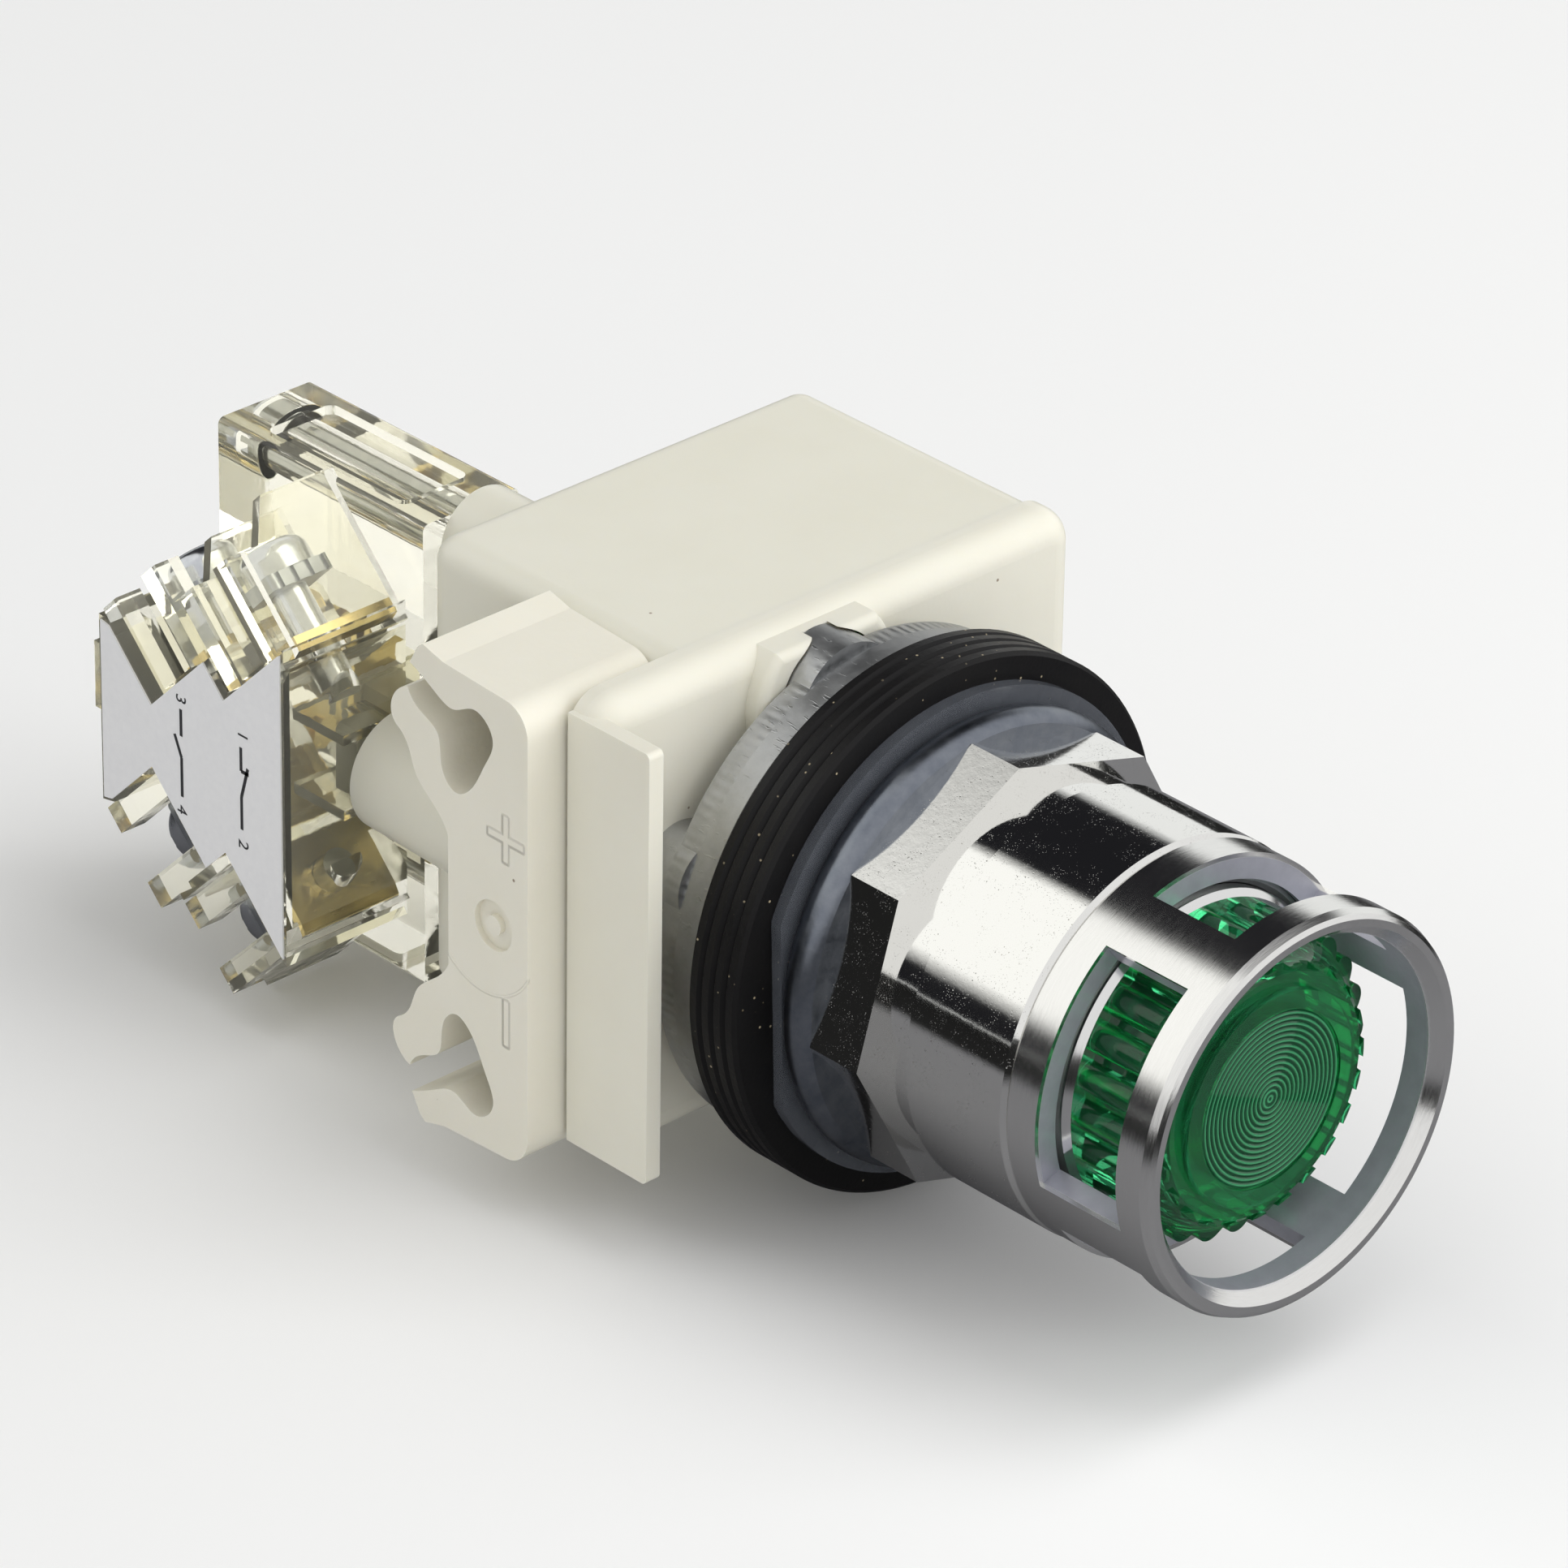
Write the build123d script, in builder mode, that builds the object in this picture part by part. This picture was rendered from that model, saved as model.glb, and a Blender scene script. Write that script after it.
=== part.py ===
from build123d import *
from math import cos, radians, sin, sqrt
import os

# Illuminated push button for a control panel, 30 mm size.
# Millimetres. The origin is on the button's axis, in the plane where the
# zinc body meets the rubber washers: the plane of the panel.
# The operator faces -Y, the wiring is at +Y, and +Z is up.

# Running and seating clearances
running_gap = 0.05
seat_gap = 0.02
press_travel = 3.5

# Threaded neck and the stack clamped against the panel
neck_r = 15.0
thread_r = 14.6
neck_bore_r = 13.35
neck_front = 30.1
washer_r = 22.0
washer_t = 1.285
washer_count = 4
clear_washer_r = 19.8
clear_washer_t = 1.01
clear_washer_flat = 18.1
washer_flat_angle = 182
thrust_ring_r = 18.7
thrust_ring_t = 2.85

# Octagonal ring nut with its smooth sleeve
nut_corner_r = 18.0
nut_corner_angle = 6
nut_t = 5.0
nut_throat_r = 15.7
nut_throat_l = 3.0
sleeve_nut_r = 16.3
sleeve_nut_l = 10.7

# Guard with four windows
guard_r = 16.2
guard_bore_r = 14.1
guard_l = 14.8
guard_socket_l = 2.6
window_front_margin = 3.3
window_l = 8.3
window_count = 4
window_width_angle = 71.5
window_angle = 71.5

# Fluted lens
lobe_count = 24
lobe_r = 1.25
lens_tip_r = 12.6
lens_root_r = 11.5
lens_l = 7.2
lens_bevel = 1.6
lens_tip_round = 2.2
lens_disc_r = 8.7
lens_disc_t = 0.7
lens_rim_w = 1.5
lens_wall = 1.4
lens_spigot_r = 11.4
lens_spigot_l = 4.0
lens_front = 38.4

# Plunger: the chrome skirt behind the lens and its long tube
skirt_wall = 1.0
skirt_l = 11.0
plunger_r = 7.5
plunger_bore_r = 6.3
plunger_rear = 11.8
web_t = 1.4

# Zinc body behind the panel
flange_front_r = 20.4
flange_r = 21.0
flange_l = 2.6
knurl_r = 20.65
knurl_l = 2.2
boss_r = 13.5
boss_l = 2.18
guide_front = 12.5
guide_l = 4.0
rear_bore_r = 11.0
lug_r = 4.87
lug_x = 2.9
lug_top_z = 16.8
lug_low_z = -12.2
stop_lug_r = 3.6
stop_lug_x = 16.5
stop_lug_z = 6.5

# Retaining clip and return spring
clip_r = 9.3
clip_t = 1.0
spring_wire_r = 0.5
spring_r = 9.95
spring_turns = 4

# Light module: front plate
cover_left = -24.6
cover_right = 25.0
module_bottom = -17.2
module_top = 22.15
cover_t = 3.42
cover_corner_r = 3.0
cover_edge_r = 2.4
lip_t = 1.4
lip_reach = 5.48
lip_inset = 1.25
lip_round = 0.5
collar_r = 7.0
collar_t = 1.8
collar_inset = 0.5
collar_round = 0.8
cover_hole_r = 8.6

# Light module: box
box_left = -15.5
box_right = 23.55
box_l = 26.1
box_wall = 1.8
box_edge_r = 2.0
board_r = 11.5
board_t = 1.6
board_y = 24.0
holder_r = 5.6
holder_bore_r = 4.75
holder_flange_r = 7.1
holder_flange_t = 2.4
holder_front = 14.0
lamp_base_r = 4.6
lamp_base_l = 10.0
lamp_bulb_r = 4.9
lamp_bulb_l = 19.0

# Push rod and the sleeve that guides it past the lamp
rod_x = -13.0
rod_z = -1.5
rod_r = 3.0
rod_stem_r = 1.7
rod_head_y = 21.0
rod_end_y = 44.75
rod_sleeve_r = 5.2
rod_sleeve_draft = 1.0
rod_sleeve_front = 19.9
rod_sleeve_end = 42.6
pusher_t = 2.0
pusher_r = 8.4
pusher_arm_w = 3.2

# Lamp terminal block
term_left = -28.2
term_z = 2.3
term_front = 10.8
term_top = 19.6
term_body_y = 19.7
term_edge_r = 2.5
wire_hole_y = 17.1
wire_hole_z = 14.0
wire_hole_w = 4.6
lip_tip_y = 23.95
lip_tip_z = 18.6
lamp_plate_t = 1.0
lamp_plate_w = 5.6
lamp_screw_x = -20.8
lamp_screw_head_r = 2.6
lamp_screw_head_t = 1.6
lamp_screw_r = 1.4
lamp_screw_l = 4.0

# Contact block
block_z = -1.5
block_left = -24.1
block_front = 43.4
block_rear = 65.6
near_right = -11.7
tall_right = -1.9
tall_front = 41.3
tall_z = -0.75
tall_half = 20.45
block_wall = 1.2
block_edge_r = 0.6
recess_t = 0.8
label_t = 0.15
label_margin = 0.3
face_1_s = 21.67
face_1_u = 40.75
face_2_s = 30.65
face_2_u = 44.16
rear_s = 39.7
rear_u = 51.05
fin_t = 1.2
fin_u = 49.0
fin_2_u = 52.3
fin_high_u = 52.6
fin_high_x = -18.5
post_x = 2.4
post_s = 2.3

# Contact block terminals
strap_t = 0.8
strap_w = 6.2
strap_left = -21.4
strap_right = -5.0
contact_z = 6.2
contact_r = 1.1
contact_t = 0.45
contact_x = -6.9
screw_1_s = 26.3
screw_2_s = 35.1
term_screw_x = -17.4
term_screw_r = 1.5
term_screw_l = 4.3
term_head_r = 3.0
term_head_t = 2.6
clamp_t = 1.3
clamp_w = 6.0
clamp_h = 5.6
wire_gap = 4.0
nc_leg_y = 51.6
leg_t = 0.6
tab_1_s = 28.4
tab_1_w = 1.5
tab_1_l = 3.8
tab_2_s = 34.6
tab_2_w = 2.6
tab_2_l = 5.8
loop_z = 0.75
loop_h = 5.9
loop_reach = 1.3

# Contact slider, bridges and spring
slider_head_l = 2.5
slider_left = -16.0
slider_head_z = 2.8
slider_core_w = 3.8
slider_core_z = 1.6
slider_collar = 0.8
slider_nose_r = 1.2
slider_nose_l = 2.4
bridge_t = 0.7
bridge_half = 7.6
bridge_w = 4.4
rib_t = 0.9
rib_l = 6.0
block_spring_wire_r = 0.3
block_spring_r = 1.9
block_spring_turns = 5

# Fasteners
module_screw_r = 1.6
module_screw_head_r = 2.9
module_screw_head_t = 1.8
module_screw_reach = 5.0
block_screw_r = 1.6
block_screw_x = -5.7
block_screw_top_z = 16.8
block_screw_low_z = -13.0
block_screw_head_r = 2.5
block_screw_head_t = 2.2
block_screw_reach = 6.0
standoff_r = 4.2

# Places along the axis that follow from the sizes above
washer_stack = washer_t * washer_count
thrust_back = washer_stack + clear_washer_t
nut_back = thrust_back + thrust_ring_t
nut_front = nut_back + nut_t
nut_sleeve_back = nut_front + nut_throat_l
guard_back = nut_sleeve_back + sleeve_nut_l
guard_front = guard_back + guard_l
guard_socket_front = guard_back + guard_socket_l
window_front = guard_front - window_front_margin
window_back = window_front - window_l
lens_back = lens_front - lens_l
lens_cavity_front = lens_front - lens_wall
spigot_back = lens_back - lens_spigot_l
skirt_r = neck_bore_r - running_gap
skirt_bore_r = lens_spigot_r + running_gap
skirt_web_front = spigot_back - seat_gap
skirt_web_back = skirt_web_front - web_t
skirt_back = lens_back - skirt_l
guide_back = guide_front - guide_l
flange_back = flange_l + knurl_l
module_front = flange_back + boss_l
box_front = module_front + cover_t
box_back = box_front + box_l
cavity_back = box_back - box_wall
module_mid_z = (module_top + module_bottom) / 2
module_height = module_top - module_bottom
rod_front_y = plunger_rear + seat_gap + pusher_t + seat_gap
slider_front = rod_end_y + running_gap
tall_left = near_right
tall_cavity_left = tall_left + block_wall
tall_cavity_right = tall_right - block_wall
tall_cavity_half = 9.4
cavity_rear = block_rear - block_wall
cavity_near_front = block_front + block_wall
bridge_nc_y = nc_leg_y + leg_t + 2 * contact_t + seat_gap
slider_core_x = contact_x
collar_2_y = bridge_nc_y + bridge_t + seat_gap
bridge_no_y = collar_2_y + slider_collar + seat_gap
collar_3_y = bridge_no_y + bridge_t + seat_gap
no_leg_y = bridge_no_y + bridge_t + 2 * contact_t + press_travel + seat_gap
collar_1_y = bridge_nc_y - slider_collar - seat_gap
slider_core_back = collar_3_y + slider_collar
lug_points = [(-lug_x, lug_top_z), (lug_x, lug_low_z)]
standoff_points = [(block_screw_x, block_screw_top_z), (block_screw_x, block_screw_low_z)]


def facing(y):
    """Plane across the button's axis at y; a positive extrusion goes to the front."""
    return Plane.XZ.offset(-y)


def side(x):
    """Plane across the width at x, with Y and Z in it."""
    return Plane.YZ.offset(x)


def su(s, u):
    """Point (y, z) of a corner given along and above the block's 45 degree faces."""
    return ((s + u) / sqrt(2), (u - s) / sqrt(2))


def write(piece, name):
    """Labels a finished piece and writes its file."""
    piece.label = name
    export_step(piece, f"parts/{name}.step")


os.makedirs("parts", exist_ok=True)

# Zinc body: flange behind the panel, threaded neck through it, guide web for the plunger
with BuildPart() as operator_body:
    with BuildSketch(Plane.XY):
        with BuildLine():
            Polyline(
                (neck_bore_r, -guide_front),
                (neck_bore_r, -neck_front + 0.4),
                (neck_bore_r + 0.4, -neck_front),
                (thread_r - 0.5, -neck_front),
                (thread_r, -neck_front + 0.5),
                (thread_r, -nut_back),
                (neck_r, -nut_back),
                (neck_r, 0),
                (flange_front_r, 0),
                (flange_r, 0.6),
                (flange_r, flange_l),
                (knurl_r, flange_l + 0.2),
                (knurl_r, flange_back),
                (boss_r, flange_back),
                (boss_r, module_front),
                (rear_bore_r, module_front),
                (rear_bore_r, -guide_back),
                (plunger_r + running_gap, -guide_back),
                (plunger_r + running_gap, -guide_front),
                close=True,
            )
        make_face()
    revolve(axis=Axis.Y)
    with BuildSketch(facing(module_front)):
        with Locations(*lug_points):
            Circle(lug_r)
        with Locations((-stop_lug_x, stop_lug_z)):
            Circle(stop_lug_r)
    extrude(amount=module_front - flange_l - 0.5)
    with BuildSketch(facing(module_front)):
        with Locations(*lug_points):
            Circle(module_screw_r + running_gap)
    extrude(amount=module_screw_reach + running_gap, mode=Mode.SUBTRACT)
write(operator_body.part, "operator_body")

# Rubber washers that seal the panel, each with a softened rim
for number in range(washer_count):
    with BuildPart() as rubber_washer:
        with BuildSketch(facing(-number * washer_t)):
            Circle(washer_r)
            Circle(neck_r + running_gap, mode=Mode.SUBTRACT)
        extrude(amount=washer_t)
        rims = rubber_washer.edges().filter_by(GeomType.CIRCLE).sort_by(SortBy.RADIUS)[-2:]
        chamfer(rims, 0.3)
    write(rubber_washer.part, f"rubber_washer_{number + 1}")

# Clear washer with one flat side
with BuildPart() as clear_washer:
    with BuildSketch(facing(-washer_stack)):
        Circle(clear_washer_r)
        with Locations(Location((0, 0, 0), (0, 0, washer_flat_angle))):
            with Locations((clear_washer_flat + washer_r, 0)):
                Rectangle(2 * washer_r, 2 * washer_r, mode=Mode.SUBTRACT)
        Circle(neck_r + running_gap, mode=Mode.SUBTRACT)
    extrude(amount=clear_washer_t)
write(clear_washer.part, "clear_washer")

# Thrust ring with a rounded outer edge
with BuildPart() as thrust_ring:
    with BuildSketch(Plane.XY):
        with BuildLine():
            l1 = Line((neck_r + running_gap, -thrust_back), (thrust_ring_r - 0.9, -thrust_back))
            l2 = ThreePointArc(
                l1 @ 1,
                (thrust_ring_r, -thrust_back - thrust_ring_t / 2),
                (thrust_ring_r - 0.9, -nut_back),
            )
            l3 = Line(l2 @ 1, (neck_r + running_gap, -nut_back))
            Line(l3 @ 1, l1 @ 0)
        make_face()
    revolve(axis=Axis.Y)
write(thrust_ring.part, "thrust_ring")

# Ring nut: octagon, throat and smooth sleeve in one piece
with BuildPart() as ring_nut:
    with BuildSketch(facing(-nut_back)):
        RegularPolygon(nut_corner_r, 8, rotation=nut_corner_angle)
    extrude(amount=nut_t)
    with BuildSketch(Plane.XY):
        with BuildLine():
            Polyline(
                (0, -nut_back),
                (0, -guard_back),
                (sleeve_nut_r - 0.35, -guard_back),
                (sleeve_nut_r, -guard_back + 0.35),
                (sleeve_nut_r, -nut_sleeve_back - 0.5),
                (nut_throat_r, -nut_sleeve_back),
                (nut_throat_r, -nut_back),
                close=True,
            )
        make_face()
    revolve(axis=Axis.Y)
    with BuildSketch(facing(-nut_back)):
        Circle(thread_r + running_gap)
    extrude(amount=guard_back - nut_back, mode=Mode.SUBTRACT)
write(ring_nut.part, "ring_nut")

# Guard: a tube round the lens with four windows, screwed on the end of the neck
wedge_x = 2 * guard_r * cos(radians(window_width_angle / 2))
wedge_z = 2 * guard_r * sin(radians(window_width_angle / 2))
with BuildPart() as guard:
    with BuildSketch(Plane.XY):
        with BuildLine():
            Polyline(
                (thread_r + running_gap, -guard_back),
                (guard_r - 0.35, -guard_back),
                (guard_r, -guard_back - 0.35),
                (guard_r, -guard_front + 0.9),
                (guard_r - 0.25, -guard_front + 0.25),
                (guard_r - 0.6, -guard_front),
                (guard_bore_r + 0.9, -guard_front),
                (guard_bore_r, -guard_front + 1.1),
                (guard_bore_r, -guard_socket_front),
                (thread_r + running_gap, -guard_socket_front),
                close=True,
            )
        make_face()
    revolve(axis=Axis.Y)
    with BuildSketch(facing(-window_back)):
        with PolarLocations(0, window_count, start_angle=window_angle):
            Polygon((0, 0), (wedge_x, -wedge_z), (wedge_x, wedge_z), align=None)
    extrude(amount=window_l, mode=Mode.SUBTRACT)
write(guard.part, "guard")

# Fluted green lens cap, hollow for the lamp, with the spigot that screws in the skirt
with BuildPart() as lens:
    with BuildSketch(facing(-lens_back)):
        Circle(lens_root_r)
    extrude(amount=lens_l)
    chamfer(lens.faces().sort_by(Axis.Y)[0].edges(), lens_bevel)
    # The flutes stay proud down to the flat ring round the disc, with rounded front ends
    with BuildSketch(facing(-lens_back)):
        with PolarLocations(lens_tip_r - lobe_r, lobe_count):
            Circle(lobe_r)
    extrude(amount=lens_l)
    with BuildSketch(Plane.XY):
        with BuildLine():
            RadiusArc(
                (lens_tip_r - lens_tip_round, -lens_front),
                (lens_tip_r, -lens_front + lens_tip_round),
                lens_tip_round,
            )
            Polyline(
                (lens_tip_r, -lens_front + lens_tip_round),
                (lens_tip_r + 1, -lens_front + lens_tip_round),
                (lens_tip_r + 1, -lens_front - 1),
                (lens_tip_r - lens_tip_round, -lens_front - 1),
                (lens_tip_r - lens_tip_round, -lens_front),
            )
        make_face()
    revolve(axis=Axis.Y, mode=Mode.SUBTRACT)
    with BuildSketch(facing(-lens_front)):
        Circle(lens_disc_r)
    extrude(amount=lens_disc_t)
    with BuildSketch(facing(-lens_front - lens_disc_t)):
        Circle(lens_disc_r - lens_rim_w)
    extrude(amount=-lens_disc_t / 3, mode=Mode.SUBTRACT)
    with BuildSketch(facing(-spigot_back)):
        Circle(lens_spigot_r)
    extrude(amount=lens_spigot_l)
    with BuildSketch(facing(-spigot_back)):
        Circle(lens_spigot_r - lens_wall)
    extrude(amount=lens_cavity_front - spigot_back, mode=Mode.SUBTRACT)
write(lens.part, "lens")

# Plunger: skirt behind the lens, web and tube, turned in one piece
with BuildPart() as plunger:
    with BuildSketch(Plane.XY):
        with BuildLine():
            Polyline(
                (skirt_bore_r, -skirt_web_front),
                (skirt_bore_r, -lens_back + seat_gap),
                (skirt_r - 0.5, -lens_back + seat_gap),
                (skirt_r, -lens_back + 0.5),
                (skirt_r, -skirt_back),
                (skirt_r - skirt_wall, -skirt_back),
                (skirt_r - skirt_wall, -skirt_web_back),
                (plunger_r, -skirt_web_back),
                (plunger_r, -guide_back + seat_gap),
                (plunger_r - 0.6, -guide_back + seat_gap),
                (plunger_r - 0.6, -guide_back + seat_gap + clip_t + 2 * seat_gap),
                (plunger_r, -guide_back + seat_gap + clip_t + 2 * seat_gap),
                (plunger_r, plunger_rear),
                (plunger_bore_r, plunger_rear),
                (plunger_bore_r, -skirt_web_front),
                close=True,
            )
        make_face()
    revolve(axis=Axis.Y)
write(plunger.part, "plunger")

# Clip that stops the plunger against the guide web
with BuildPart() as retaining_clip:
    with BuildSketch(facing(-guide_back + 2 * seat_gap + clip_t)):
        Circle(clip_r)
        Circle(plunger_r - 0.6 + seat_gap, mode=Mode.SUBTRACT)
        with Locations((0, -clip_r)):
            Rectangle(clip_r, clip_r, mode=Mode.SUBTRACT)
    extrude(amount=clip_t)
write(retaining_clip.part, "retaining_clip")


def coil(front, back, coil_r, wire_r, turns):
    """Compression spring round the axis, with both ends ground flat."""
    length = back - front
    with BuildPart() as spring:
        with BuildLine():
            path = Helix(length / turns, length, coil_r)
        with BuildSketch(Plane(origin=path @ 0, z_dir=path % 0)):
            Circle(wire_r)
        sweep(path=path, is_frenet=True)
        with BuildSketch():
            Circle(coil_r + 3 * wire_r)
        extrude(amount=length, mode=Mode.INTERSECT)
    return spring.part.moved(facing(back).location)


# Return spring between the skirt's web and the guide web
spring_front = -skirt_web_back + seat_gap
spring_back = -guide_front - seat_gap
return_spring = coil(spring_front, spring_back, spring_r, spring_wire_r, spring_turns)
write(return_spring, "return_spring")

# Pusher: ring behind the plunger tube with an arm that reaches the push rod
with BuildPart() as pusher_bar:
    with BuildSketch(facing(plunger_rear + seat_gap + pusher_t)):
        Circle(pusher_r)
        with Locations((rod_x / 2, rod_z / 2)):
            Rectangle(-rod_x, pusher_arm_w)
        with Locations((rod_x, rod_z)):
            Circle(rod_stem_r)
        Circle(plunger_bore_r, mode=Mode.SUBTRACT)
    extrude(amount=pusher_t)
write(pusher_bar.part, "pusher_bar")

# Push rod: thin stem in the box, full head in the sleeve
with BuildPart() as push_rod:
    with BuildSketch(facing(rod_end_y)):
        with Locations((rod_x, rod_z)):
            Circle(rod_r)
    extrude(amount=rod_end_y - rod_head_y)
    chamfer(push_rod.edges().filter_by(GeomType.CIRCLE), 0.3)
    with BuildSketch(facing(rod_end_y - 1)):
        with Locations((rod_x, rod_z)):
            Circle(rod_stem_r)
    extrude(amount=rod_end_y - 1 - rod_front_y)
write(push_rod.part, "push_rod")

# Lamp holder: a long tube on a flange, standing on the lamp board
with BuildPart() as lamp_holder:
    with BuildSketch(facing(board_y - seat_gap)):
        Circle(holder_flange_r)
    extrude(amount=holder_flange_t)
    with BuildSketch(facing(board_y - seat_gap)):
        Circle(holder_r)
    extrude(amount=board_y - seat_gap + holder_front)
    with BuildSketch(facing(-holder_front)):
        Circle(holder_bore_r)
    extrude(amount=-lamp_base_l, mode=Mode.SUBTRACT)
write(lamp_holder.part, "lamp_holder")

# Lamp: metal bayonet base with its two pins' collar, and the glass bulb
with BuildPart() as lamp_base:
    with BuildSketch(facing(-holder_front + lamp_base_l - seat_gap)):
        Circle(lamp_base_r)
    extrude(amount=lamp_base_l)
write(lamp_base.part, "lamp_base")

bulb_back = holder_front + seat_gap
bulb_front = bulb_back + lamp_bulb_l
with BuildPart() as lamp_bulb:
    with BuildSketch(Plane.XY):
        with BuildLine():
            b1 = Line((0, -bulb_back), (lamp_base_r, -bulb_back))
            b2 = Line(b1 @ 1, (lamp_bulb_r, -bulb_back - 1.5))
            b3 = Line(b2 @ 1, (lamp_bulb_r, -bulb_front + lamp_bulb_r))
            b4 = CenterArc((0, -bulb_front + lamp_bulb_r), lamp_bulb_r, 0, -90)
            Line(b4 @ 1, b1 @ 0)
        make_face()
    revolve(axis=Axis.Y)
write(lamp_bulb.part, "lamp_bulb")

# Lamp board, round, with one side cut straight beside the push rod's sleeve
with BuildPart() as lamp_board:
    with BuildSketch(facing(board_y + board_t)):
        with Locations((board_r / 2 - 2.5, 0)):
            Rectangle(board_r + 7, 2 * board_r)
    extrude(amount=board_t)
    fillet(lamp_board.edges().filter_by(Axis.Y), 1.5)
write(lamp_board.part, "lamp_board")

# Front plate of the light module, with its rounded face and the lip on the left
cover_mid_x = (cover_left + cover_right) / 2
cover_w = cover_right - cover_left
with BuildPart() as module_cover:
    with BuildSketch(facing(box_front)):
        with Locations((cover_mid_x, module_mid_z)):
            RectangleRounded(cover_w, module_height, cover_corner_r)
    extrude(amount=cover_t)
    fillet(module_cover.faces().sort_by(Axis.Y)[0].edges(), cover_edge_r)
    with BuildSketch(facing(box_front - seat_gap)):
        with Locations((cover_left + lip_t / 2, module_mid_z)):
            Rectangle(lip_t, module_height - 2 * lip_inset)
    extrude(amount=cover_t + lip_reach)
    lip_ends = module_cover.edges().filter_by(Axis.X).group_by(Axis.Y)[0]
    fillet(lip_ends, lip_round)
    # Collar round the upper lug, flat where it meets the rounded top edge
    with BuildSketch(facing(module_front + 1)):
        with Locations(lug_points[0]):
            Circle(collar_r)
        with Locations((lug_points[0][0], module_top - collar_inset - collar_r)):
            Rectangle(2 * collar_r + 1, 2 * collar_r, mode=Mode.INTERSECT)
    extrude(amount=collar_t + 1)
    fillet(module_cover.faces().filter_by(Axis.Y).sort_by(Axis.Y)[1].edges(), collar_round)
    with BuildSketch(facing(module_front)):
        with Locations(*lug_points):
            Circle(lug_r + 0.15)
        with Locations((-stop_lug_x, stop_lug_z)):
            Circle(stop_lug_r + 0.15)
        Circle(boss_r + 0.15)
    extrude(amount=collar_t + 1, mode=Mode.SUBTRACT)
    with BuildSketch(facing(box_front)):
        Circle(cover_hole_r)
        with Locations(*lug_points):
            Circle(module_screw_r + running_gap)
    extrude(amount=cover_t, mode=Mode.SUBTRACT)
write(module_cover.part, "module_cover")

# Screws that hold the front plate to the zinc body
with BuildPart() as module_screws:
    with BuildSketch(facing(box_front + module_screw_head_t)):
        with Locations(*lug_points):
            Circle(module_screw_head_r)
    extrude(amount=module_screw_head_t)
    with BuildSketch(facing(box_front)):
        with Locations(*lug_points):
            Circle(module_screw_r)
    extrude(amount=cover_t + module_screw_reach)
write(module_screws.part, "module_screws")

# Box of the light module with the rod sleeve and the standoffs for the contact block
box_mid_x = (box_left + box_right) / 2
box_w = box_right - box_left
with BuildPart() as module_housing:
    with BuildSketch(facing(box_back)):
        with Locations((box_mid_x, module_mid_z)):
            RectangleRounded(box_w, module_height, box_edge_r)
    extrude(amount=box_l)
    fillet(module_housing.faces().sort_by(Axis.Y)[-1].edges(), box_edge_r - 0.1)
    with BuildSketch(facing(box_front)):
        with Locations((box_mid_x, module_mid_z)):
            RectangleRounded(box_w - 2 * box_wall, module_height - 2 * box_wall, 1.0)
    extrude(amount=-(box_l - box_wall), mode=Mode.SUBTRACT)
    with BuildSketch(facing(rod_sleeve_end)):
        with Locations((rod_x, rod_z)):
            Circle(rod_sleeve_r)
    extrude(amount=rod_sleeve_end - rod_sleeve_front, taper=-rod_sleeve_draft)
    with BuildSketch(facing(rod_sleeve_end)):
        with Locations((rod_x, rod_z)):
            Circle(rod_r + running_gap)
    extrude(amount=rod_sleeve_end - rod_sleeve_front, mode=Mode.SUBTRACT)
    with BuildSketch(facing(tall_front - seat_gap)):
        with Locations(*standoff_points):
            Circle(standoff_r)
    extrude(amount=tall_front - seat_gap - cavity_back + block_screw_reach)
    with BuildSketch(facing(tall_front)):
        with Locations(*standoff_points):
            Circle(block_screw_r + running_gap)
    extrude(amount=tall_front - cavity_back + block_screw_reach - 1, mode=Mode.SUBTRACT)
    with BuildSketch(facing(cavity_back)):
        with Locations((board_r / 2 - 2.5, 0)):
            with GridLocations(board_r + 3, 2 * board_r - 5, 2, 2):
                Circle(2.0)
    extrude(amount=cavity_back - board_y - board_t - seat_gap)
    with BuildSketch(facing(rod_sleeve_front)):
        with Locations((rod_x, rod_z)):
            SlotCenterToCenter(0.01, 2 * rod_stem_r + 0.3)
    extrude(amount=rod_sleeve_front - box_front, mode=Mode.SUBTRACT)
write(module_housing.part, "module_housing")

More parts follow.
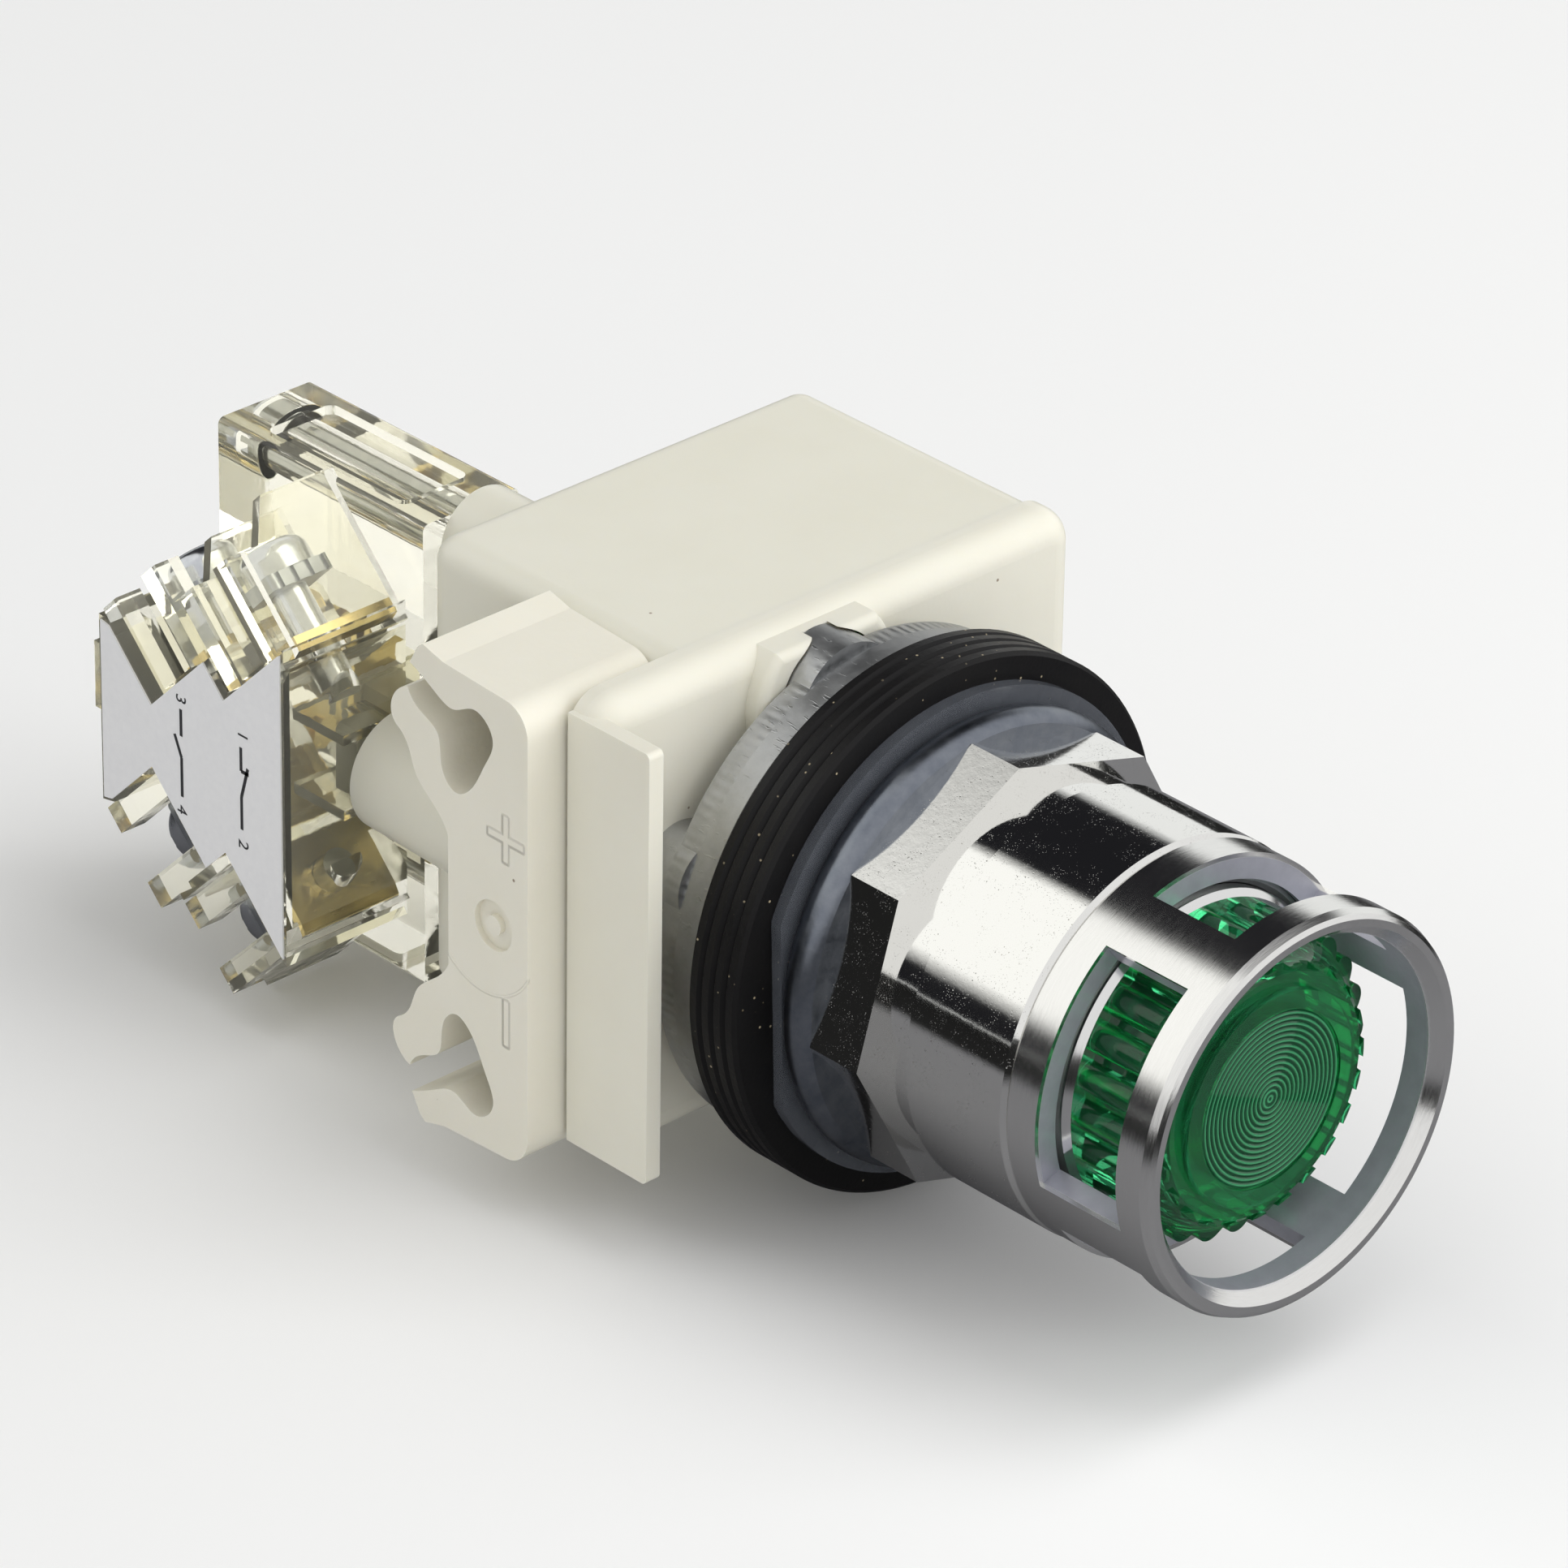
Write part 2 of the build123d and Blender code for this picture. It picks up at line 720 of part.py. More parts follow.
# Terminal block of the lamp: one profile drawn for the top half and mirrored,
# with a C shaped wire hole that opens to the rear between two ears
with BuildPart() as terminal_block:
    with BuildSketch(side(term_left)):
        with BuildLine():
            Polyline((term_body_y, 5.6), (term_body_y, 0), (term_front, 0), (term_front, term_top), (20.2, 20.1))
            Polyline((20.2, 20.1), (22.5, 20.7), (23.1, 20.2), (lip_tip_y, lip_tip_z))
            # Jaw, the hole's slanted front wall, its round bottom, and the ear's inner side
            Spline(
                (lip_tip_y, lip_tip_z),
                (20.9, 17.1),
                (19.2, 16.55),
                (16.6, 17.5),
                (14.7, 15.9),
                (15.6, 13.2),
                (17.3, 10.4),
                (18.8, 9.6),
                (20.3, 10.9),
                (20.9, 13.9),
                (22.9, 15.0),
                (24.2, 16.4),
            )
            Spline((24.2, 16.4), (25.6, 15.4), (26.1, 13.6), (25.2, 12.5))
            Spline((25.2, 12.5), (24.2, 11.4), (23.3, 9.3), (21.3, 7.5), (term_body_y, 5.6))
        make_face()
    extrude(amount=box_left - seat_gap - term_left)
    fillet(terminal_block.edges().filter_by(Axis.X).group_by(Axis.Y)[0].sort_by(Axis.Z)[-1], term_edge_r)
    mirror(about=Plane.XY)
    with BuildSketch(side(term_left)):
        with Locations((14.6, 0)):
            Circle(2.1)
    extrude(amount=0.5, mode=Mode.SUBTRACT)
    with BuildSketch(side(term_left)):
        with Locations((14.6, 0)):
            Circle(0.8)
    extrude(amount=0.6)
    with BuildSketch(side(term_left + 1.6)):
        with Locations((wire_hole_y - wire_hole_w / 2, wire_hole_z), (wire_hole_y - wire_hole_w / 2, -wire_hole_z)):
            Rectangle(2 * lamp_plate_t, lamp_plate_w + 2 * seat_gap)
    extrude(amount=box_left - term_left, mode=Mode.SUBTRACT)
    with BuildSketch(facing(wire_hole_y)):
        with Locations((lamp_screw_x, wire_hole_z), (lamp_screw_x, -wire_hole_z)):
            Circle(lamp_screw_r + running_gap)
    extrude(amount=wire_hole_w / 2 + lamp_screw_l - 0.2, mode=Mode.SUBTRACT)
    # Recess for the head, which stands in the hole's slanted front wall
    with BuildSketch(facing(wire_hole_y + lamp_screw_head_t)):
        with Locations((lamp_screw_x, wire_hole_z), (lamp_screw_x, -wire_hole_z)):
            Circle(lamp_screw_head_r + running_gap)
    extrude(amount=wire_hole_w / 2 + lamp_screw_head_t, mode=Mode.SUBTRACT)
    # Room for the push rod's sleeve, which passes behind
    with BuildSketch(facing(rod_sleeve_end)):
        with Locations((rod_x, rod_z - term_z)):
            Circle(rod_sleeve_r + 0.55)
    extrude(amount=rod_sleeve_end - rod_sleeve_front + 0.1, mode=Mode.SUBTRACT)
terminal_part = terminal_block.part.moved(Location((0, 0, term_z)))
write(terminal_part, "terminal_block")

# Lamp terminals: brass plates through the box wall, and their screws
plate_front = wire_hole_y - wire_hole_w / 2 - lamp_plate_t + seat_gap
with BuildPart() as lamp_terminal_plates:
    with BuildSketch(side(term_left + 1.6 + seat_gap)):
        with Locations((plate_front + lamp_plate_t / 2, wire_hole_z), (plate_front + lamp_plate_t / 2, -wire_hole_z)):
            Rectangle(lamp_plate_t, lamp_plate_w)
    extrude(amount=box_left - term_left - 1.6 - 2 * seat_gap)
    with BuildSketch(facing(wire_hole_y)):
        with Locations((lamp_screw_x, wire_hole_z), (lamp_screw_x, -wire_hole_z)):
            Circle(lamp_screw_r + running_gap)
    extrude(amount=wire_hole_w, mode=Mode.SUBTRACT)
write(lamp_terminal_plates.part.moved(Location((0, 0, term_z))), "lamp_terminal_plates")

lamp_screw_back = plate_front + lamp_plate_t + lamp_screw_head_t
with BuildPart() as lamp_terminal_screws:
    with BuildSketch(facing(lamp_screw_back)):
        with Locations((lamp_screw_x, wire_hole_z), (lamp_screw_x, -wire_hole_z)):
            Circle(lamp_screw_head_r)
    extrude(amount=lamp_screw_head_t)
    chamfer(lamp_terminal_screws.edges().filter_by(GeomType.CIRCLE).group_by(Axis.Y)[-1], 0.4)
    with BuildSketch(facing(lamp_screw_back - lamp_screw_head_t)):
        with Locations((lamp_screw_x, wire_hole_z), (lamp_screw_x, -wire_hole_z)):
            Circle(lamp_screw_r)
    extrude(amount=lamp_screw_l - 0.5)
write(lamp_terminal_screws.part.moved(Location((0, 0, term_z))), "lamp_terminal_screws")


def across(s, x=0.0, u=0.0):
    """Plane across a slanted face at s: local X is the width, local Y the height u."""
    y, z = su(s, u)
    return Plane(origin=(x, y, z), x_dir=(1, 0, 0), z_dir=(0, -1, 1))


def above(s, u, x=0.0):
    """Plane parallel to a slanted face at height u: a positive extrusion rises from it."""
    y, z = su(s, u)
    return Plane(origin=(x, y, z), x_dir=(1, 0, 0), z_dir=(0, 1, 1))


# Outline of the near part of the contact block, in Y and Z about its middle:
# two 45 degree terminal faces like a stair, above and below
near_outline = [
    (block_front, 0),
    (block_front, 14.0),
    su(face_1_s, face_1_u),
    su(face_2_s, face_1_u),
    su(face_2_s, face_2_u),
    su(rear_s, face_2_u),
    su(rear_s, rear_u),
    (block_rear, 8.3),
    (block_rear, 0),
]


# The same outline whole, and the room inside it
with BuildSketch() as near_sketch:
    with BuildLine():
        Polyline(*near_outline, close=True)
    make_face()
    mirror(about=Plane.XZ)
with BuildSketch() as near_room:
    add(near_sketch.sketch)
    offset(amount=-block_wall, kind=Kind.INTERSECTION, mode=Mode.REPLACE)

with BuildSketch() as label_sketch:
    add(near_sketch.sketch)
    offset(amount=-label_margin, kind=Kind.INTERSECTION, mode=Mode.REPLACE)

# Clear moulding, near part: stair outline, barrier fins that stand across the
# terminal faces, and posts at their outer ends
face_1_end = face_2_s - post_s - 0.9
with BuildPart() as block_near:
    with BuildSketch(side(block_left)):
        add(near_sketch.sketch)
    extrude(amount=tall_left - block_left + block_wall)
    for s, high in ((face_1_s, fin_high_u), (face_2_s - fin_t / 2, fin_high_u)):
        with BuildSketch(across(s)):
            Polygon(
                (block_left, face_1_u - 1.5),
                (block_left, fin_u),
                (block_left + 3.2, fin_u),
                (fin_high_x, high),
                (tall_left + 0.5, high),
                (tall_left + 0.5, face_1_u - 1.5),
                align=None,
            )
        extrude(amount=-fin_t)
    for s, floor, top in (
        (face_1_s, face_1_u, fin_u),
        (face_1_end, face_1_u, fin_u),
        (face_2_s, face_2_u, fin_2_u),
        (rear_s - post_s, face_2_u, fin_2_u),
    ):
        with BuildSketch(above(s + post_s / 2, floor - 1.0)):
            with Locations((block_left + post_x / 2, 0)):
                Rectangle(post_x, post_s)
        extrude(amount=top - floor + 1.0)
    mirror(about=Plane.XY)
near_part = block_near.part.moved(Location((0, 0, block_z)))

tall_mid_x = (tall_left + tall_right) / 2
with BuildPart() as block_housing:
    add(near_part)
    # Tall part with the mounting screws, rounded at its corners
    with BuildSketch(facing(block_rear)):
        with Locations((tall_mid_x, tall_z)):
            RectangleRounded(tall_right - tall_left, 2 * tall_half, block_edge_r)
    extrude(amount=block_rear - tall_front)
    # Shallow recesses in its top and bottom
    for end in (tall_z + tall_half, tall_z - tall_half):
        with BuildSketch(Plane.XY.offset(end)):
            with Locations((tall_mid_x, (block_rear + tall_front) / 2)):
                RectangleRounded(tall_right - tall_left - 3, block_rear - tall_front - 8, 0.8)
        extrude(amount=recess_t, both=True, mode=Mode.SUBTRACT)
    # Room inside the near part, open to the tall part
    with BuildSketch(side(block_left + block_wall)):
        with Locations((0, block_z)):
            add(near_room.sketch)
    extrude(amount=tall_cavity_left - block_left - block_wall, mode=Mode.SUBTRACT)
    # Room for the contacts in the tall part
    tall_room = cavity_rear - tall_front - block_wall
    with BuildSketch(facing(cavity_rear)):
        with Locations((tall_mid_x, block_z)):
            Rectangle(tall_cavity_right - tall_cavity_left, 2 * tall_cavity_half)
    extrude(amount=tall_room, mode=Mode.SUBTRACT)
    # Two ribs that guide the slider's head
    rib_mid_x = (tall_cavity_right + slider_left - 1.5) / 2
    rib_middle = slider_head_z + running_gap + rib_t / 2
    with BuildSketch(facing(cavity_near_front + rib_l)):
        with Locations((rib_mid_x, block_z + rib_middle), (rib_mid_x, block_z - rib_middle)):
            Rectangle(tall_cavity_right - slider_left + 1.5, rib_t)
    extrude(amount=rib_l + 0.3)
    # Holes for the push rod and the end of its sleeve
    with BuildSketch(facing(rod_end_y + press_travel + 0.3)):
        with Locations((rod_x, rod_z)):
            Circle(rod_r + running_gap)
    extrude(amount=rod_end_y + press_travel + 0.3 - tall_front, mode=Mode.SUBTRACT)
    with BuildSketch(facing(rod_sleeve_end + running_gap)):
        with Locations((rod_x, rod_z)):
            Circle(rod_sleeve_r + 2 * running_gap)
    extrude(amount=rod_sleeve_end + running_gap - tall_front, mode=Mode.SUBTRACT)
    # Screw holes with counterbores at the rear
    with BuildSketch(facing(block_rear)):
        with Locations(*standoff_points):
            Circle(block_screw_r + running_gap)
    extrude(amount=block_rear - tall_front, mode=Mode.SUBTRACT)
    with BuildSketch(facing(block_rear)):
        with Locations(*standoff_points):
            Circle(block_screw_head_r + 2 * running_gap)
    extrude(amount=block_screw_head_t + 0.4, mode=Mode.SUBTRACT)
    # Slots for the contact straps, and holes for the terminal screws
    for sign in (1, -1):
        for s, face, length in ((tab_1_s, face_1_u, tab_1_w), (tab_2_s, face_2_u, tab_2_w)):
            corners = [
                su(s - seat_gap, face - seat_gap),
                su(s + length + seat_gap, face - seat_gap),
                su(s + length + seat_gap, face + strap_t + seat_gap),
                su(s - seat_gap, face + strap_t + seat_gap),
            ]
            with BuildSketch(side(tall_left - 0.3)):
                Polygon(*[(y, block_z + sign * z) for y, z in corners], align=None)
            extrude(amount=block_wall + 0.6, mode=Mode.SUBTRACT)
        for s, face in ((screw_1_s, face_1_u), (screw_2_s, face_2_u)):
            y, z = su(s, face + 0.1)
            hole_plane = Plane(origin=(term_screw_x, y, block_z + sign * z), z_dir=(0, 1, sign))
            with BuildSketch(hole_plane):
                Circle(term_screw_r + running_gap)
            extrude(amount=-term_screw_l, mode=Mode.SUBTRACT)
    # Snap loop at the rear, near the labelled side
    with BuildSketch(side(block_left + 0.5)):
        with Locations((block_rear, loop_z)):
            Rectangle(2 * loop_reach, loop_h)
            Rectangle(2 * loop_reach - 1.4, loop_h - 1.8, mode=Mode.SUBTRACT)
        with Locations((block_rear - loop_reach, loop_z)):
            Rectangle(2 * loop_reach, loop_h, mode=Mode.SUBTRACT)
    extrude(amount=1.2)
write(block_housing.part, "block_housing")

# Label on the outer side, without its print
with BuildPart() as block_label:
    with BuildSketch(side(block_left - label_t)):
        with Locations((0, block_z)):
            add(label_sketch.sketch)
    extrude(amount=label_t)
write(block_label.part, "block_label")


def mirrored(pieces):
    """Upper pieces of the contact block and their mirror images below, as one group."""
    both = [*pieces, *[piece.mirror(Plane.XY) for piece in pieces]]
    place = Location((0, 0, block_z))
    return Compound(children=[solid.moved(place) for piece in both for solid in piece.solids()])


# Brass straps: plate on the terminal face, tab into the tall part, leg with a contact
with BuildPart() as nc_strap:
    with BuildSketch(side(strap_left)):
        Polygon(
            su(face_1_s + fin_t + 0.1, face_1_u),
            su(face_2_s - fin_t / 2 - 0.1, face_1_u),
            su(face_2_s - fin_t / 2 - 0.1, face_1_u + strap_t),
            su(face_1_s + fin_t + 0.1, face_1_u + strap_t),
            align=None,
        )
    extrude(amount=tall_left - strap_left)
    with BuildSketch(side(tall_left)):
        Polygon(
            su(tab_1_s, face_1_u),
            su(tab_1_s + tab_1_w, face_1_u),
            su(tab_1_s + tab_1_w, face_1_u + strap_t),
            su(tab_1_s, face_1_u + strap_t),
            align=None,
        )
    extrude(amount=block_wall + 0.4)
    with BuildSketch(side(tall_cavity_left + 0.2)):
        Polygon(
            su(tab_1_s, face_1_u),
            su(tab_1_s + tab_1_l, face_1_u),
            su(tab_1_s + tab_1_l, face_1_u + strap_t),
            su(tab_1_s, face_1_u + strap_t),
            align=None,
        )
    extrude(amount=strap_right - tall_cavity_left - 0.2)
    with BuildSketch(side(contact_x - bridge_w / 2)):
        with Locations((nc_leg_y + leg_t / 2, contact_z)):
            Rectangle(leg_t, 2 * contact_r + 0.2)
    extrude(amount=strap_right - contact_x + bridge_w / 2)
    with BuildSketch(facing(nc_leg_y + leg_t + contact_t)):
        with Locations((contact_x, contact_z)):
            Circle(contact_r)
    extrude(amount=contact_t + 0.1)
    with BuildSketch(above(screw_1_s, face_1_u, term_screw_x)):
        Circle(term_screw_r + running_gap)
    extrude(amount=strap_t, mode=Mode.SUBTRACT)
write(mirrored([nc_strap.part]), "nc_straps")

with BuildPart() as no_strap:
    with BuildSketch(side(strap_left)):
        Polygon(
            su(face_2_s + fin_t / 2 + 0.1, face_2_u),
            su(rear_s - post_s - 0.1, face_2_u),
            su(rear_s - post_s - 0.1, face_2_u + strap_t),
            su(face_2_s + fin_t / 2 + 0.1, face_2_u + strap_t),
            align=None,
        )
    extrude(amount=tall_left - strap_left)
    with BuildSketch(side(tall_left)):
        Polygon(
            su(tab_2_s, face_2_u),
            su(tab_2_s + tab_2_w, face_2_u),
            su(tab_2_s + tab_2_w, face_2_u + strap_t),
            su(tab_2_s, face_2_u + strap_t),
            align=None,
        )
    extrude(amount=block_wall + 0.4)
    with BuildSketch(side(tall_cavity_left + 0.2)):
        Polygon(
            su(tab_2_s, face_2_u),
            su(tab_2_s + tab_2_l, face_2_u),
            su(tab_2_s + tab_2_l, face_2_u + strap_t),
            su(tab_2_s, face_2_u + strap_t),
            align=None,
        )
    extrude(amount=0.7)
    with BuildSketch(side(tall_cavity_left + 0.2)):
        with Locations((no_leg_y + leg_t / 2, (contact_z + contact_r + 3.1) / 2)):
            Rectangle(leg_t, contact_z + contact_r - 3.1)
    extrude(amount=strap_right - tall_cavity_left - 0.2)
    with BuildSketch(facing(no_leg_y + 0.1)):
        with Locations((contact_x, contact_z)):
            Circle(contact_r)
    extrude(amount=contact_t + 0.1)
    with BuildSketch(above(screw_2_s, face_2_u, term_screw_x)):
        Circle(term_screw_r + running_gap)
    extrude(amount=strap_t, mode=Mode.SUBTRACT)
write(mirrored([no_strap.part]), "no_straps")

# Terminal screws with domed heads, backed out, and the ridged plates under them
heads = []
plates = []
for s, face in ((screw_1_s, face_1_u), (screw_2_s, face_2_u)):
    plate_u = face + strap_t + wire_gap
    with BuildPart() as clamp_plate:
        with BuildSketch(above(s, plate_u, term_screw_x)):
            RectangleRounded(clamp_w, clamp_h, 0.5)
        extrude(amount=clamp_t)
        with BuildSketch(above(s, plate_u, term_screw_x)):
            with GridLocations(clamp_w / 4, clamp_h, 4, 2):
                Rectangle(0.5, 0.6)
        extrude(amount=clamp_t, mode=Mode.SUBTRACT)
        with BuildSketch(above(s, plate_u, term_screw_x)):
            Circle(term_screw_r + running_gap)
        extrude(amount=clamp_t, mode=Mode.SUBTRACT)
    with BuildPart() as terminal_screw:
        with BuildSketch(above(s, plate_u + clamp_t, term_screw_x)):
            Circle(term_head_r)
        extrude(amount=term_head_t)
        top_rim = terminal_screw.faces().sort_by(SortBy.DISTANCE)[-1].edges()
        fillet(top_rim, 1.3)
        with BuildSketch(above(s, plate_u + clamp_t, term_screw_x)):
            Circle(term_screw_r)
        extrude(amount=-(strap_t + wire_gap + clamp_t + term_screw_l - 1.2))
        with BuildSketch(above(s, plate_u + clamp_t + term_head_t, term_screw_x)):
            Rectangle(2 * term_head_r, 0.8)
        extrude(amount=-0.9, mode=Mode.SUBTRACT)
    heads.append(terminal_screw.part)
    plates.append(clamp_plate.part)
for name, group in (("terminal_screws", heads), ("clamp_plates", plates)):
    write(mirrored(group), name)

# Slider: head under the push rod, core with collars for the bridges, spring nose
with BuildPart() as contact_slider:
    with BuildSketch(facing(slider_front + slider_head_l)):
        with Locations(((slider_left + contact_x + bridge_w / 2) / 2, block_z)):
            Rectangle(contact_x + bridge_w / 2 - slider_left, 2 * slider_head_z)
    extrude(amount=slider_head_l)
    chamfer(contact_slider.edges().filter_by(Axis.Y), 0.4)
    with BuildSketch(facing(slider_core_back)):
        with Locations((contact_x, block_z)):
            Rectangle(slider_core_w, 2 * slider_core_z)
    extrude(amount=slider_core_back - slider_front - slider_head_l)
    for y in (collar_1_y, collar_2_y, collar_3_y):
        with BuildSketch(facing(y + slider_collar)):
            with Locations((contact_x, block_z)):
                Rectangle(bridge_w, 2 * slider_core_z + 1.6)
        extrude(amount=slider_collar)
    with BuildSketch(facing(slider_core_back + slider_nose_l)):
        with Locations((contact_x, block_z)):
            Circle(slider_nose_r)
    extrude(amount=slider_nose_l)
write(contact_slider.part, "contact_slider")

# Contact bridges: the closed one behind its straps, the open one before them
for name, y, tip_y in (
    ("bridge_nc", bridge_nc_y, bridge_nc_y),
    ("bridge_no", bridge_no_y, bridge_no_y + bridge_t + contact_t),
):
    with BuildPart() as bridge:
        with BuildSketch(facing(y + bridge_t)):
            with Locations((contact_x, block_z)):
                RectangleRounded(bridge_w, 2 * bridge_half, 0.6)
                Rectangle(slider_core_w + 0.04, 2 * slider_core_z + 0.04, mode=Mode.SUBTRACT)
        extrude(amount=bridge_t)
        with BuildSketch(facing(tip_y)):
            with Locations((contact_x, block_z + contact_z), (contact_x, block_z - contact_z)):
                Circle(contact_r)
        extrude(amount=contact_t)
    write(bridge.part, name)

# Spring that returns the slider
slider_spring = coil(
    slider_core_back + seat_gap,
    cavity_rear - seat_gap,
    block_spring_r,
    block_spring_wire_r,
    block_spring_turns,
).moved(Location((contact_x, 0, block_z)))
write(slider_spring, "contact_spring")

# Long screws that hold the contact block to the standoffs
with BuildPart() as block_screws:
    head_back = block_rear - 0.4
    with BuildSketch(facing(head_back)):
        with Locations(*standoff_points):
            Circle(block_screw_head_r)
    extrude(amount=block_screw_head_t)
    with BuildSketch(facing(head_back)):
        with Locations(*standoff_points):
            Rectangle(2 * block_screw_head_r, 0.8)
    extrude(amount=0.9, mode=Mode.SUBTRACT)
    with BuildSketch(facing(head_back - block_screw_head_t)):
        with Locations(*standoff_points):
            Circle(block_screw_r)
    extrude(amount=head_back - block_screw_head_t - tall_front + block_screw_reach - 1)
write(block_screws.part, "block_screws")
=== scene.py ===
# %% [markdown]
# # Illuminated push button
# The solids of the push button are already modelled. This lesson loads them and gives each one
# the finish of the real thing: pitted chrome, brushed chrome, dull zinc, rubber, ivory mouldings,
# clear plastic, brass and a translucent green lens. A few printed and moulded marks are added.

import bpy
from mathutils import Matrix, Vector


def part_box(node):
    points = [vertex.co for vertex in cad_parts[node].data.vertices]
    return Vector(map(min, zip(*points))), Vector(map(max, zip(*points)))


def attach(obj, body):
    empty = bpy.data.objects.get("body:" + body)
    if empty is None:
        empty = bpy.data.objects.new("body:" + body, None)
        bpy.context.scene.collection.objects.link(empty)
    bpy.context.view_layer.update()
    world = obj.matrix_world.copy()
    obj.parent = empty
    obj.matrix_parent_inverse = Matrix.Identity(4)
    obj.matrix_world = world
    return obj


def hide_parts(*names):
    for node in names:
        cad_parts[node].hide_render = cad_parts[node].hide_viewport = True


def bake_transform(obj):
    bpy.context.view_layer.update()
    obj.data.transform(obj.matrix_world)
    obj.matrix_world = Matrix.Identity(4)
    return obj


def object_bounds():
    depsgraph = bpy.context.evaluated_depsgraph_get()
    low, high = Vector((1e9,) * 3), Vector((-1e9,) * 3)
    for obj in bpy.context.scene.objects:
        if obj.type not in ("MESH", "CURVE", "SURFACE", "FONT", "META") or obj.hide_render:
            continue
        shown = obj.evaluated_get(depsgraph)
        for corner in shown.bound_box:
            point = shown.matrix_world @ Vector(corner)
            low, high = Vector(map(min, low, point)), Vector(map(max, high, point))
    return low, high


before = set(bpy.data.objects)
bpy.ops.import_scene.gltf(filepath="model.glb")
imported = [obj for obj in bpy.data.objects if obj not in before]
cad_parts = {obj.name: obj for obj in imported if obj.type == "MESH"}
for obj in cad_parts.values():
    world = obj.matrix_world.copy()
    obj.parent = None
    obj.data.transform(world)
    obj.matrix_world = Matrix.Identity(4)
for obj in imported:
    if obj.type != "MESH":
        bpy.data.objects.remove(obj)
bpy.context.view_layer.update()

import math
import bmesh
import bpy
from mathutils import Matrix, Vector

# %% [markdown]
# The camera stands where the photographer's did. Its place was found by matching edges of the
# object to the photograph: it looks down 29 degrees and turns 44 degrees to the left side, with
# a long lens, so that parallel edges stay almost parallel.

# %% Camera
VIEW_TURN = math.radians(-43.612)
VIEW_DOWN = math.radians(29.298)
VIEW_ROLL = math.radians(0.951)
VIEW_DISTANCE = 0.706109
VIEW_SHIFT = (-0.008845, 0.00873)
FOCAL_PIXELS = 11515.576
PICTURE_PIXELS = 1932
SENSOR_MM = 36

back = Vector((
    math.sin(VIEW_TURN) * math.cos(VIEW_DOWN),
    -math.cos(VIEW_TURN) * math.cos(VIEW_DOWN),
    math.sin(VIEW_DOWN),
))
level_right = Vector((math.cos(VIEW_TURN), math.sin(VIEW_TURN), 0.0))
level_up = back.cross(level_right)
right = math.cos(VIEW_ROLL) * level_right + math.sin(VIEW_ROLL) * level_up
up = -math.sin(VIEW_ROLL) * level_right + math.cos(VIEW_ROLL) * level_up

camera = bpy.data.objects.new("camera", bpy.data.cameras.new("camera"))
bpy.context.collection.objects.link(camera)
camera.matrix_world = Matrix((
    (right.x, up.x, back.x, 0),
    (right.y, up.y, back.y, 0),
    (right.z, up.z, back.z, 0),
    (0, 0, 0, 1),
))
camera.location = right * VIEW_SHIFT[0] + up * VIEW_SHIFT[1] + back * VIEW_DISTANCE
camera.data.lens = FOCAL_PIXELS / PICTURE_PIXELS * SENSOR_MM
camera.data.sensor_width = SENSOR_MM
camera.data.clip_start = 0.01
bpy.context.scene.camera = camera
print("camera at", [round(v, 3) for v in camera.location], "lens", round(camera.data.lens, 1))

# %% [markdown]
# A material is a small program: numbers run through nodes into the shader. Writing it as
# arithmetic is shorter than placing boxes, so this class wraps one output socket, and an
# expression such as 1 - mask adds the Math nodes by itself. Colours and vectors never go through
# Math nodes, which would turn them grey: they use Mix and Vector Math.

# %% A wrapper for sockets
class Wire:
    """One output of a shader node. Arithmetic on it adds Math nodes to the same tree."""

    def __init__(self, tree, socket):
        self.tree = tree
        self.socket = socket

    @staticmethod
    def node(tree, kind, settings=None, inputs=None, out=0):
        """Any node: its type, its settings, and the values or wires of its sockets."""
        made = tree.nodes.new(kind)
        for name, value in (settings or {}).items():
            if name == "stops":
                ramp = made.color_ramp
                while len(ramp.elements) < len(value):
                    ramp.elements.new(1.0)
                for element, (place, colour) in zip(ramp.elements, value):
                    element.position = place
                    element.color = colour if len(colour) == 4 else (*colour, 1.0)
            else:
                setattr(made, name, value)
        for name, value in (inputs or {}).items():
            socket = next(
                s for s in made.inputs
                if s.enabled and name in (s.identifier, s.name, made.inputs[:].index(s))
            )
            if isinstance(value, Wire):
                tree.links.new(value.socket, socket)
            else:
                socket.default_value = value
        return Wire(tree, made.outputs[out])

    def math(self, operation, *values):
        """A Math node on these values, in this order."""
        settings = {"operation": operation}
        return Wire.node(self.tree, "ShaderNodeMath", settings, dict(enumerate(values)))

    def __add__(self, other): return self.math("ADD", self, other)
    def __radd__(self, other): return self.math("ADD", other, self)
    def __sub__(self, other): return self.math("SUBTRACT", self, other)
    def __rsub__(self, other): return self.math("SUBTRACT", other, self)
    def __mul__(self, other): return self.math("MULTIPLY", self, other)
    def __rmul__(self, other): return self.math("MULTIPLY", other, self)
    def __truediv__(self, other): return self.math("DIVIDE", self, other)
    def __rtruediv__(self, other): return self.math("DIVIDE", other, self)
    def __pow__(self, other): return self.math("POWER", self, other)
    def clamped(self): return self.math("MAXIMUM", self.math("MINIMUM", self, 1.0), 0.0)


# %% [markdown]
# Each finish starts from the same shader. The class below opens a material, gives its wires for
# the place on the object in metres and for common textures, and closes it on the shader's
# sockets. A size such as 0.0004 is then a real size on the object: 0.4 mm.

